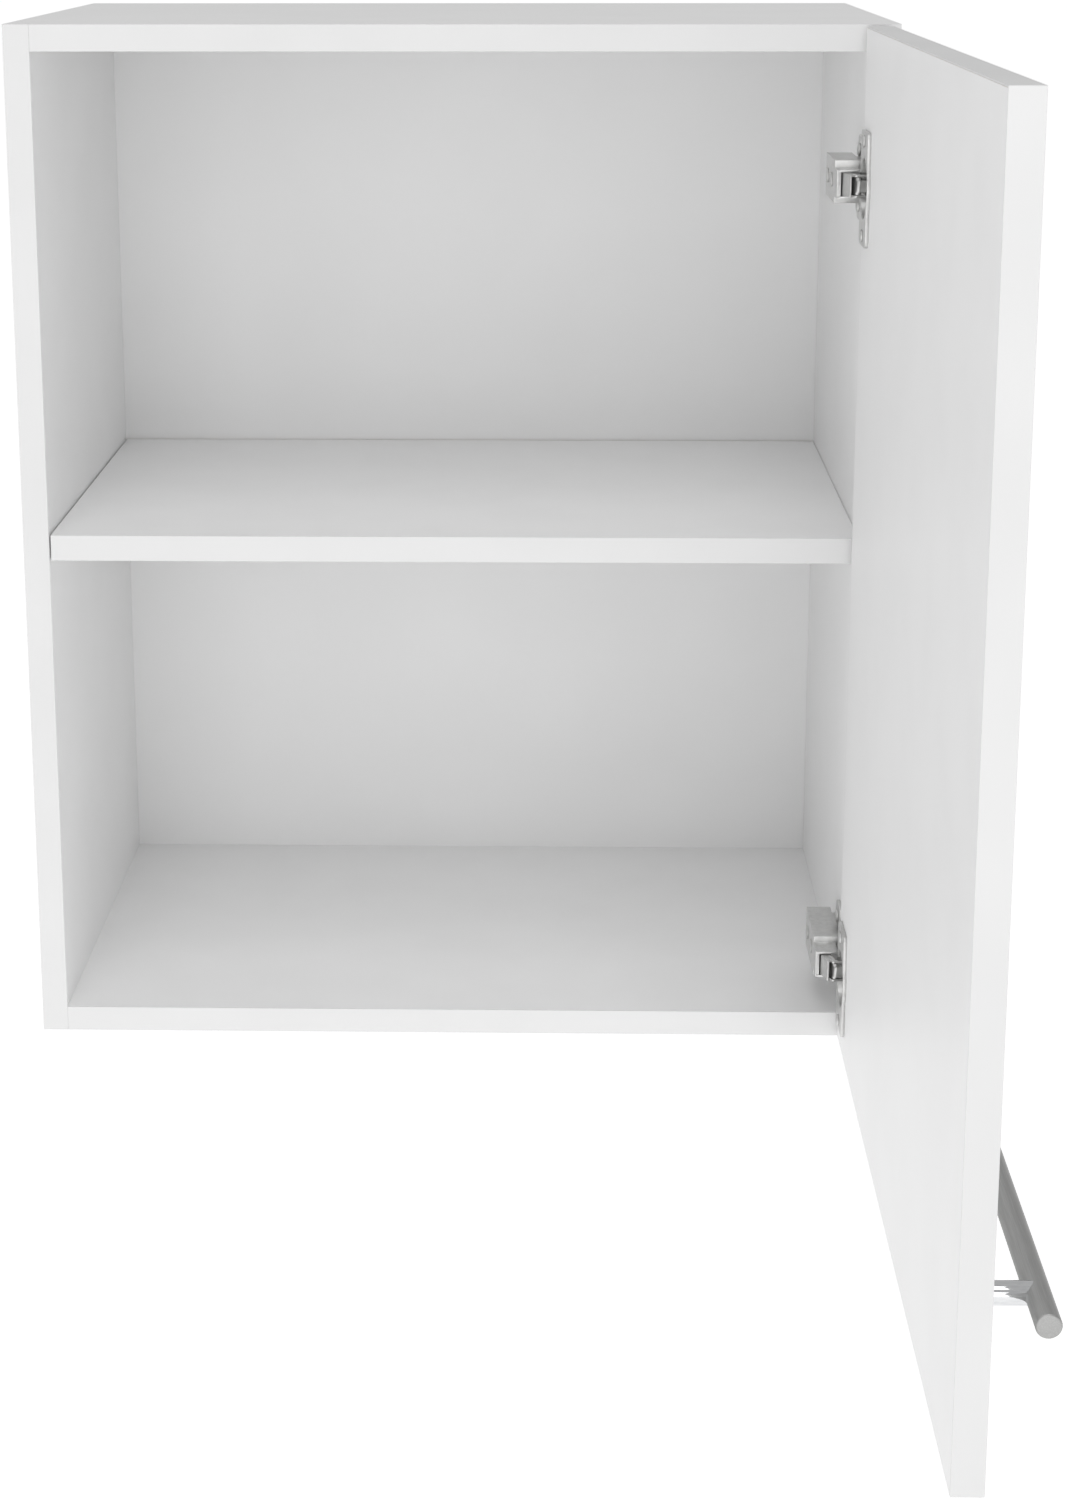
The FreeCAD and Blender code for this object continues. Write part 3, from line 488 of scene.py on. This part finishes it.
def softened(node: str, name: str, radius_mm: float, segments: int = 2,
             sharp_deg: float = 35.0, smooth: bool = True) -> bpy.types.Object:
    """Copy of a CAD node with its sharp edges rounded.

    Args:
        node: the CAD node.
        name: the new piece's name.
        radius_mm: how wide the rounding is.
        segments: how many faces go round an edge.
        sharp_deg: edges sharper than this are rounded.
        smooth: whether curved faces are shaded as one.

    Returns:
        The new piece, which stands in for the node.
    """
    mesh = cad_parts[node].data.copy()
    mesh.materials.clear()
    work = bmesh.new()
    work.from_mesh(mesh)
    bmesh.ops.remove_doubles(work, verts=work.verts, dist=MERGE)
    part_solids(work)
    bmesh.ops.dissolve_limit(work, angle_limit=math.radians(FLAT_DEG), verts=work.verts, edges=work.edges)
    work.to_mesh(mesh)
    work.free()
    for polygon in mesh.polygons:
        polygon.use_smooth = smooth
    piece = new_piece(name, mesh)
    rounding = piece.modifiers.new("rounding", "BEVEL")
    rounding.width = radius_mm * MM
    rounding.segments = segments
    rounding.limit_method = "ANGLE"
    rounding.angle_limit = math.radians(sharp_deg)
    rounding.harden_normals = smooth
    rounding.use_clamp_overlap = True
    baked(piece)
    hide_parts(node)
    return piece


def islands(node: str) -> list[tuple[Vector, Vector]]:
    """Boxes of the separate solids in a CAD node.

    Args:
        node: the CAD node.

    Returns:
        Lowest and highest corner of each solid, from low to high.
    """
    work = bmesh.new()
    work.from_mesh(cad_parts[node].data)
    bmesh.ops.remove_doubles(work, verts=work.verts, dist=MERGE)
    boxes = []
    groups = linked_groups(work.verts, lambda vertex: [
        other for edge in vertex.link_edges for other in edge.verts])
    for group in groups:
        low = Vector([min(v.co[i] for v in group) for i in range(3)])
        high = Vector([max(v.co[i] for v in group) for i in range(3)])
        boxes.append((low, high))
    work.free()
    return sorted(boxes, key=lambda pair: tuple(round(c, 4) for c in pair[0]))


def dress(piece: bpy.types.Object, material: bpy.types.Material) -> None:
    """Give a whole piece one material.

    Args:
        piece: the object.
        material: its finish.
    """
    piece.data.materials.clear()
    piece.data.materials.append(material)
    for polygon in piece.data.polygons:
        polygon.material_index = 0


def dress_faces(piece: bpy.types.Object, material: bpy.types.Material,
                test: Callable[[Vector, Vector], bool]) -> None:
    """Give some faces of a piece a further material.

    Args:
        piece: the object, which has its main material already.
        material: the further finish.
        test: says from a face's centre and normal whether it gets the finish.
    """
    piece.data.materials.append(material)
    index = len(piece.data.materials) - 1
    for polygon in piece.data.polygons:
        if test(polygon.center, polygon.normal):
            polygon.material_index = index


def settle(piece: bpy.types.Object, body: Body) -> None:
    """Say which body a finished piece rides on.

    Args:
        piece: the finished object.
        body: the body it rides on.
    """
    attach(piece, body.value)
    LOG.info("%s: %d faces on %s", piece.name, len(piece.data.polygons), body.value)


def lathe(profile: Sequence[tuple[float, float]], steps: int) -> bpy.types.Mesh:
    """Turn a profile round the Z axis.

    Args:
        profile: radius and height of each point, from the bottom's axis to the top's axis.
        steps: faces round the axis.

    Returns:
        A closed mesh.
    """
    work = bmesh.new()
    rings = []
    for radius, height in profile:
        if radius < ON_AXIS:
            rings.append([work.verts.new((0, 0, height))])
            continue
        turns = [2 * math.pi * i / steps for i in range(steps)]
        rings.append([work.verts.new((radius * math.cos(a), radius * math.sin(a), height)) for a in turns])
    for lower, upper in zip(rings, rings[1:]):
        for i in range(steps):
            j = (i + 1) % steps
            below = [lower[i % len(lower)], lower[j % len(lower)]]
            above = [upper[j % len(upper)], upper[i % len(upper)]]
            unique = list(dict.fromkeys(below + above))
            if len(unique) > 2:
                work.faces.new(unique)
    bmesh.ops.recalc_face_normals(work, faces=work.faces)
    mesh = bpy.data.meshes.new("turned")
    work.to_mesh(mesh)
    work.free()
    for polygon in mesh.polygons:
        polygon.use_smooth = True
    return mesh


class Repeat:
    """Places one master mesh at many points with Geometry Nodes."""

    def __init__(self, master: bpy.types.Object, facing: Facing) -> None:
        """Keep the master and its turn.

        Args:
            master: the object that is repeated, modelled round the origin with its head up.
            facing: which way the head points on the cabinet.
        """
        self.master = master
        self.facing = facing

    def tree(self, material: bpy.types.Material) -> bpy.types.GeometryNodeTree:
        """Build the node tree.

        Args:
            material: the finish of every copy.

        Returns:
            The tree, with inputs for the points, the turn and the largest spin of the copies.
        """
        group = bpy.data.node_groups.new("repeat_" + self.master.name, "GeometryNodeTree")
        group.interface.new_socket("Points", in_out="INPUT", socket_type="NodeSocketGeometry")
        group.interface.new_socket("Turn", in_out="INPUT", socket_type="NodeSocketVector")
        group.interface.new_socket("Largest spin", in_out="INPUT", socket_type="NodeSocketFloat")
        group.interface.new_socket("Pieces", in_out="OUTPUT", socket_type="NodeSocketGeometry")
        start = add_node(group, "NodeGroupInput")
        end = add_node(group, "NodeGroupOutput")
        master = add_node(group, "GeometryNodeObjectInfo", inputs={"Object": self.master})
        # each screw stops at its own angle, as driven screws do
        angle = add_node(group, "FunctionNodeRandomValue", {"data_type": "FLOAT"}, {
            2: 0.0, 3: start.outputs["Largest spin"], "Seed": SPIN_SEED})
        spin = add_node(group, "ShaderNodeCombineXYZ", inputs={"Z": angle.outputs[1]})
        copies = add_node(group, "GeometryNodeInstanceOnPoints", inputs={
            "Points": start.outputs["Points"], "Instance": master.outputs["Geometry"],
            "Rotation": start.outputs["Turn"]})
        turned = add_node(group, "GeometryNodeRotateInstances", inputs={
            "Instances": copies.outputs["Instances"], "Rotation": spin.outputs["Vector"],
            "Local Space": True})
        real = add_node(group, "GeometryNodeRealizeInstances", inputs={
            "Geometry": turned.outputs["Instances"]})
        add_material = add_node(group, "GeometryNodeSetMaterial", inputs={
            "Geometry": real.outputs["Geometry"], "Material": material})
        group.links.new(add_material.outputs["Geometry"], end.inputs["Pieces"])
        return group

    def make(self, name: str, points: Iterable[Vector], material: bpy.types.Material,
             largest_spin: float = math.pi / 2) -> bpy.types.Object:
        """Make one mesh of all the copies.

        Args:
            name: the new piece's name.
            points: where each copy's origin goes.
            material: the finish.
            largest_spin: the most that a copy is turned about its own axis.

        Returns:
            The finished piece.
        """
        mesh = bpy.data.meshes.new(name)
        mesh.from_pydata([tuple(p) for p in points], [], [])
        piece = new_piece(name, mesh)
        modifier = piece.modifiers.new("repeat", "NODES")
        modifier.node_group = self.tree(material)
        sockets = {item.name: item.identifier for item in modifier.node_group.interface.items_tree}
        modifier[sockets["Turn"]] = self.facing.value
        modifier[sockets["Largest spin"]] = largest_spin
        baked(piece)
        dress(piece, material)
        return piece


@dataclass(frozen=True)
class ScrewSize:
    """Sizes of one kind of screw in millimetres. The length is that of the shank under the head."""

    head_radius: float
    head_height: float
    shank_radius: float
    length: float
    head: Head = Head.PAN


@dataclass
class Fixings:
    """Master meshes of the screws and caps, each with its head's underside at the origin."""

    recess_arm_mm: float = 0.55
    recess_depth_mm: float = 1.1
    recess_reach: float = 0.62      # of the head's radius
    recess_foot: float = 0.35       # of the reach, at the recess's bottom
    recess_clear_mm: float = 0.5    # how far the cutter stands above the head
    point_mm: float = 1.0
    point_share: float = 0.5        # of the shank's radius, at its tip
    lip_share: float = 0.97         # of the head's radius, where its edge starts to round
    sink_share: float = 0.96        # the same under a countersunk head
    sink_edge_mm: float = 0.06
    dome_foot: float = 0.35         # of a pan head's height, under its dome
    rise_share: float = 0.12        # of a pan head's height, where it is widest
    cap_radius_mm: float = 6.0
    cap_height_mm: float = 0.78
    cap_rim_mm: float = 0.25
    steps: int = 32
    cap_steps: int = 48
    _tools: list[bpy.types.Object] = field(default_factory=list)

    def screw(self, name: str, size: ScrewSize) -> bpy.types.Object:
        """Screw with a cross recess.

        Args:
            name: the master's name.
            size: the screw's sizes.

        Returns:
            The master object, hidden from the render.
        """
        r, h, s = size.head_radius * MM, size.head_height * MM, size.shank_radius * MM
        end = -size.length * MM
        lip, edge = r * self.lip_share, self.sink_edge_mm * MM
        shank = [(0, end), (s * self.point_share, end), (s, end + self.point_mm * MM)]
        if size.head is Head.COUNTERSUNK:
            top = 0.0
            head = [(s, -h), (r * self.sink_share, -2 * edge), (r, -edge), (lip, 0), (0, 0)]
        else:
            top = h
            turns = [math.radians(d) for d in range(0, 90, DOME_STEP_DEG)]
            foot = self.dome_foot
            dome = [(r * math.cos(a), h * (foot + (1 - foot) * math.sin(a))) for a in turns]
            head = [(s, 0), (lip, 0), (r, h * self.rise_share)] + dome + [(0, h)]
        master = new_piece(name, lathe(shank + head, self.steps))
        for turn in (0.0, math.pi / 2):
            self.recess(master, r * self.recess_reach, top, turn)
        baked(master)
        self.clear_tools()
        master.hide_render = True
        return master

    def recess(self, master: bpy.types.Object, reach: float, top: float, turn: float) -> None:
        """Cut one tapered slot of the cross.

        Args:
            master: the screw.
            reach: half the slot's length.
            top: height of the head's top.
            turn: the slot's angle.
        """
        half = self.recess_arm_mm * MM / 2
        deep = top - self.recess_depth_mm * MM
        high = top + self.recess_clear_mm * MM
        corners = [(x * k, y * half, z) for z, k in ((deep, reach * self.recess_foot), (high, reach))
                   for x, y in ((-1, -1), (1, -1), (1, 1), (-1, 1))]
        faces = [(3, 2, 1, 0), (4, 5, 6, 7), (0, 1, 5, 4), (1, 2, 6, 5), (2, 3, 7, 6), (3, 0, 4, 7)]
        mesh = bpy.data.meshes.new("recess")
        mesh.from_pydata([tuple(Matrix.Rotation(turn, 3, "Z") @ Vector(c)) for c in corners], [], faces)
        tool = new_piece("recess_tool", mesh)
        self._tools.append(tool)
        cut = master.modifiers.new("recess", "BOOLEAN")
        cut.operation = "DIFFERENCE"
        cut.object = tool
        cut.solver = "EXACT"

    def cap(self) -> bpy.types.Object:
        """Low domed cap with a thin rim, on a side panel.

        Returns:
            The master object, hidden from the render.
        """
        r, t, rim = self.cap_radius_mm * MM, self.cap_height_mm * MM, self.cap_rim_mm * MM
        turns = [math.radians(d) for d in range(90 - DOME_STEP_DEG, 0, -DOME_STEP_DEG)]
        dome = [(r * math.sin(a), rim + (t - rim) * math.cos(a)) for a in turns]
        master = new_piece("cap_master", lathe([(0, 0), (r, 0), (r, rim)] + dome + [(0, t)], self.cap_steps))
        master.hide_render = True
        return master

    def clear_tools(self) -> None:
        """Remove the cutters."""
        for tool in self._tools:
            bpy.data.objects.remove(tool)
        self._tools.clear()


# ---------------------------------------------------------------- sub-assemblies
@dataclass
class Carcass:
    """The white board box with its back, shelf, rails and wall plates."""

    palette: Palette
    board_edge_mm: float = 0.12
    band_edge_mm: float = 0.3
    plate_edge_mm: float = 0.25
    pin_edge_mm: float = 0.3
    skin: float = 0.0004            # what lies nearer to a face than this belongs to it
    plate_screw: ScrewSize = ScrewSize(3.35, 2.0, 1.7, 11.9, Head.COUNTERSUNK)
    screw_sink_mm: float = 0.02     # of the plate screws' heads

    def boards(self) -> None:
        """Sides, top and bottom, raw on the edges that face the wall."""
        film = self.palette.get(MelamineBoard())
        raw = self.palette.get(RawChipboard())
        for node in ("side_panel_left", "side_panel_right", "top_panel", "bottom_panel"):
            board = softened(node, node + "_finished", self.board_edge_mm, smooth=False)
            dress(board, film)
            dress_faces(board, raw, lambda c, n: n.y > 0.5 and c.y > -self.skin)
            settle(board, Body.CABINET)

    def rails(self) -> None:
        """Hanging rails: film on both faces, raw on the long edges."""
        film = self.palette.get(MelamineBoard())
        raw = self.palette.get(RawChipboard())
        for node in ("hanging_rail_upper", "hanging_rail_lower"):
            low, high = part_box(node)
            rail = softened(node, node + "_finished", self.board_edge_mm, smooth=False)
            dress(rail, film)
            dress_faces(rail, raw, lambda c, n: low.y + self.skin < c.y < high.y - self.skin)
            settle(rail, Body.CABINET)

    def bands(self) -> None:
        """Plastic bands on the visible edges of the carcass and the shelf."""
        band = self.palette.get(EdgeBand())
        for node in ("carcass_edge_bands", "shelf_edge_band"):
            piece = softened(node, node + "_finished", self.band_edge_mm, 3, smooth=False)
            dress(piece, band)
            settle(piece, Body.CABINET)

    def back(self) -> None:
        """Thin back panel: white lacquer in front, bare brown fibre behind."""
        low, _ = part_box("back_panel")
        panel = softened("back_panel", "back_panel_finished", self.board_edge_mm, smooth=False)
        dress(panel, self.palette.get(LacqueredBack()))
        dress_faces(panel, self.palette.get(Hardboard()), lambda c, n: c.y > low.y + self.skin)
        settle(panel, Body.CABINET)

    def shelf(self) -> None:
        """Loose shelf, with its raw rear edge."""
        _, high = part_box("shelf")
        board = softened("shelf", "shelf_finished", self.board_edge_mm, smooth=False)
        dress(board, self.palette.get(MelamineBoard()))
        raw = self.palette.get(RawChipboard())
        dress_faces(board, raw, lambda c, n: n.y > 0.5 and c.y > high.y - self.skin)
        settle(board, Body.CABINET)
        pins = softened("shelf_pins", "shelf_pins_finished", self.pin_edge_mm)
        dress(pins, self.palette.get(NickelPlate()))
        settle(pins, Body.CABINET)

    def wall_plates(self, fixings: Fixings) -> None:
        """Keyhole plates and their countersunk screws.

        Args:
            fixings: makes the master screw.
        """
        zinc = self.palette.get(ZincPlate())
        plates = softened("hanger_plates", "hanger_plates_finished", self.plate_edge_mm)
        dress(plates, zinc)
        settle(plates, Body.CABINET)
        master = fixings.screw("plate_screw_master", self.plate_screw)
        sink = self.screw_sink_mm * MM
        points = [Vector(((low.x + high.x) / 2, high.y - sink, (low.z + high.z) / 2))
                  for low, high in islands("hanger_plate_screws")]
        screws = Repeat(master, Facing.WALL).make("hanger_plate_screws_finished", points, zinc)
        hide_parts("hanger_plate_screws")
        settle(screws, Body.CABINET)
        bpy.data.objects.remove(master)

    def caps(self, fixings: Fixings) -> None:
        """Caps over the screw heads of both side panels.

        Args:
            fixings: makes the master cap.
        """
        plastic = self.palette.get(MouldedPlastic())
        master = fixings.cap()
        for name, facing in (("screw_caps_left", Facing.LEFT), ("screw_caps_right", Facing.RIGHT)):
            leftward = facing is Facing.LEFT
            boxes = [pair for pair in islands("screw_caps") if (pair[0].x < 0) == leftward]
            points = [Vector((high.x if leftward else low.x, (low.y + high.y) / 2, (low.z + high.z) / 2))
                      for low, high in boxes]
            caps = Repeat(master, facing).make(name, points, plastic)
            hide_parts("screw_caps")
            settle(caps, Body.CABINET)
        bpy.data.objects.remove(master)

    def hidden_fixings(self) -> None:
        """Finishes of the pieces inside the boards, which stay as the design made them."""
        for node, finish in (("carcass_screws", ZincPlate()), ("carcass_dowels", BeechWood())):
            dress(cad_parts[node], self.palette.get(finish))

    def build(self, fixings: Fixings) -> None:
        """Make every piece of the carcass.

        Args:
            fixings: makes the master screws and caps.
        """
        self.boards()
        self.rails()
        self.bands()
        self.back()
        self.shelf()
        self.wall_plates(fixings)
        self.caps(fixings)
        self.hidden_fixings()


@dataclass
class Door:
    """The door board with its bands."""

    palette: Palette
    board_edge_mm: float = 0.12
    band_edge_mm: float = 0.3
    skin: float = 0.0003            # depth of the film on the faces

    def build(self) -> None:
        """Make the door's board and bands."""
        board = softened("door_panel", "door_panel_finished", self.board_edge_mm, smooth=False)
        dress(board, self.palette.get(MelamineBoard()))
        low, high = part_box("door_panel")
        raw = self.palette.get(RawChipboard())
        dress_faces(board, raw, lambda c, n: low.x + self.skin < c.x < high.x - self.skin)
        settle(board, Body.DOOR)
        bands = softened("door_edge_bands", "door_edge_bands_finished", self.band_edge_mm, 3, smooth=False)
        dress(bands, self.palette.get(EdgeBand()))
        settle(bands, Body.DOOR)


@dataclass
class Hinges:
    """Both concealed hinges: arms, mounting plates, links, cups and their screws."""

    palette: Palette
    sheet_edge_mm: float = 0.45
    link_edge_mm: float = 0.3
    cup_screw: ScrewSize = ScrewSize(3.5, 1.6, 1.7, 10.9)
    plate_screw: ScrewSize = ScrewSize(3.8, 1.8, 2.3, 11.9)
    arm_screw: ScrewSize = ScrewSize(4.15, 1.2, 2.8, 8.9)

    def pressings(self) -> None:
        """Arms, plates, cups and links with their rolled edges."""
        nickel = self.palette.get(NickelPlate())
        for height in ("upper", "lower"):
            parts = (
                ("hinge_arm_", self.sheet_edge_mm, Body.CABINET),
                ("hinge_mounting_plate_", self.sheet_edge_mm, Body.CABINET),
                ("hinge_cup_", self.sheet_edge_mm, Body.DOOR),
                ("outer_link_", self.link_edge_mm, Body("outer_link_" + height)),
                ("inner_link_", self.link_edge_mm, Body("inner_link_" + height)),
            )
            for stem, edge, body in parts:
                piece = softened(stem + height, stem + height + "_finished", edge)
                dress(piece, nickel)
                settle(piece, body)

    def pins(self) -> None:
        """Pivot pins, which stay as the design made them."""
        nickel = self.palette.get(NickelPlate())
        for node in ("arm_pins", "cup_pins"):
            dress(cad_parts[node], nickel)

    def screws(self, fixings: Fixings) -> None:
        """Cup, mounting plate and arm screws, all with their heads towards the open side.

        Args:
            fixings: makes the master screws.
        """
        nickel = self.palette.get(NickelPlate())
        kinds = (
            ("cup_screws", Body.DOOR, self.cup_screw),
            ("mounting_plate_screws", Body.CABINET, self.plate_screw),
            ("arm_screws", Body.CABINET, self.arm_screw),
        )
        for node, body, size in kinds:
            master = fixings.screw(node + "_master", size)
            head = size.head_height * MM
            points = [Vector((low.x + head, (low.y + high.y) / 2, (low.z + high.z) / 2))
                      for low, high in islands(node)]
            screws = Repeat(master, Facing.LEFT).make(node + "_finished", points, nickel)
            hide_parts(node)
            settle(screws, body)
            bpy.data.objects.remove(master)

    def build(self, fixings: Fixings) -> None:
        """Make every piece of both hinges.

        Args:
            fixings: makes the master screws.
        """
        self.pressings()
        self.pins()
        self.screws(fixings)


@dataclass
class Handle:
    """Bar handle on two posts."""

    palette: Palette
    bar_edge_mm: float = 0.35
    post_edge_mm: float = 0.15
    bar_sharp_deg: float = 30.0
    post_sharp_deg: float = 40.0

    def build(self) -> None:
        """Make the bar and the posts."""
        bar = softened("handle_bar", "handle_bar_finished", self.bar_edge_mm, 3, self.bar_sharp_deg)
        dress(bar, self.palette.get(BrushedSteel()))
        settle(bar, Body.DOOR)
        posts = softened("handle_posts", "handle_posts_finished", self.post_edge_mm, 2, self.post_sharp_deg)
        dress(posts, self.palette.get(PolishedChrome()))
        settle(posts, Body.DOOR)
        dress(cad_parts["handle_studs"], self.palette.get(ZincPlate()))


@dataclass
class Studio:
    """Pale floor, soft lights and the camera."""

    palette: Palette
    floor_drop: float = 0.85
    floor_half: float = 80.0
    ambient: float = 0.545
    front_power: float = 35.0
    front_size: float = 3.0
    front_place: tuple[float, float, float] = (0.0, -5.0, 0.4)
    high_power: float = 36.0
    high_size: float = 2.5
    high_place: tuple[float, float, float] = (0.0, -2.6, 3.6)
    lens: float = 66.55
    shift: tuple[float, float] = (0.0244, -0.1220)
    eye_mm: tuple[float, float, float] = (60.4, -1880.2, 118.1)
    yaw: float = -0.0222
    pitch: float = -0.2368
    roll: float = -0.0011
    sensor_mm: float = 36.0
    clip: tuple[float, float] = (0.05, 300.0)

    def floor(self) -> None:
        """Wide floor well below the cabinet."""
        z = CAD_BOX[0].z - self.floor_drop
        half = self.floor_half
        mesh = bpy.data.meshes.new("floor")
        corners = [(-half, -half, z), (half, -half, z), (half, half, z), (-half, half, z)]
        mesh.from_pydata(corners, [], [(0, 1, 2, 3)])
        floor = new_piece("floor", mesh)
        dress(floor, self.palette.get(StudioFloor()))

    def lights(self) -> None:
        """Even white surroundings, a soft light far in front and a weaker one high up."""
        world = bpy.data.worlds.new("studio_white")
        world.use_nodes = True
        background = world.node_tree.nodes["Background"]
        background.inputs["Color"].default_value = (1.0, 1.0, 1.0, 1.0)
        background.inputs["Strength"].default_value = self.ambient
        bpy.context.scene.world = world
        self.soft_light("front_light", self.front_power, self.front_size, self.front_place)
        self.soft_light("high_light", self.high_power, self.high_size, self.high_place)

    def soft_light(self, name: str, power: float, size: float, place: tuple[float, float, float]) -> None:
        """Square area light that looks at the middle of the cabinet.

        Args:
            name: the light's name.
            power: in watts.
            size: side length.
            place: where it stands.
        """
        light = bpy.data.lights.new(name, "AREA")
        light.shape = "SQUARE"
        light.size = size
        light.energy = power
        lamp = bpy.data.objects.new(name, light)
        lamp.location = Vector(place)
        middle = (CAD_BOX[0] + CAD_BOX[1]) / 2
        lamp.rotation_euler = (middle - lamp.location).to_track_quat("-Z", "Y").to_euler()
        bpy.context.scene.collection.objects.link(lamp)

    def camera(self) -> None:
        """Camera a little above the cabinet, almost straight in front."""
        lens = bpy.data.cameras.new("camera")
        lens.lens = self.lens
        lens.sensor_width = self.sensor_mm
        lens.shift_x, lens.shift_y = self.shift
        lens.clip_start, lens.clip_end = self.clip
        camera = bpy.data.objects.new("camera", lens)
        camera.location = Vector(self.eye_mm) * MM
        turn = Euler((math.pi / 2 + self.pitch, 0.0, -self.yaw), "XYZ").to_matrix()
        camera.rotation_euler = (turn @ Matrix.Rotation(self.roll, 3, "Z")).to_euler()
        bpy.context.scene.collection.objects.link(camera)
        bpy.context.scene.camera = camera

    def build(self) -> None:
        """Make the studio."""
        self.floor()
        self.lights()
        self.camera()
        bpy.context.scene.view_settings.view_transform = "Standard"


def main() -> None:
    """Build every sub-assembly in order."""
    logging.basicConfig(level=logging.INFO, format="%(message)s")
    palette = Palette()
    fixings = Fixings()
    Carcass(palette).build(fixings)
    Door(palette).build()
    Hinges(palette).build(fixings)
    Handle(palette).build()
    Studio(palette).build()


if __name__ == "__main__":
    main()
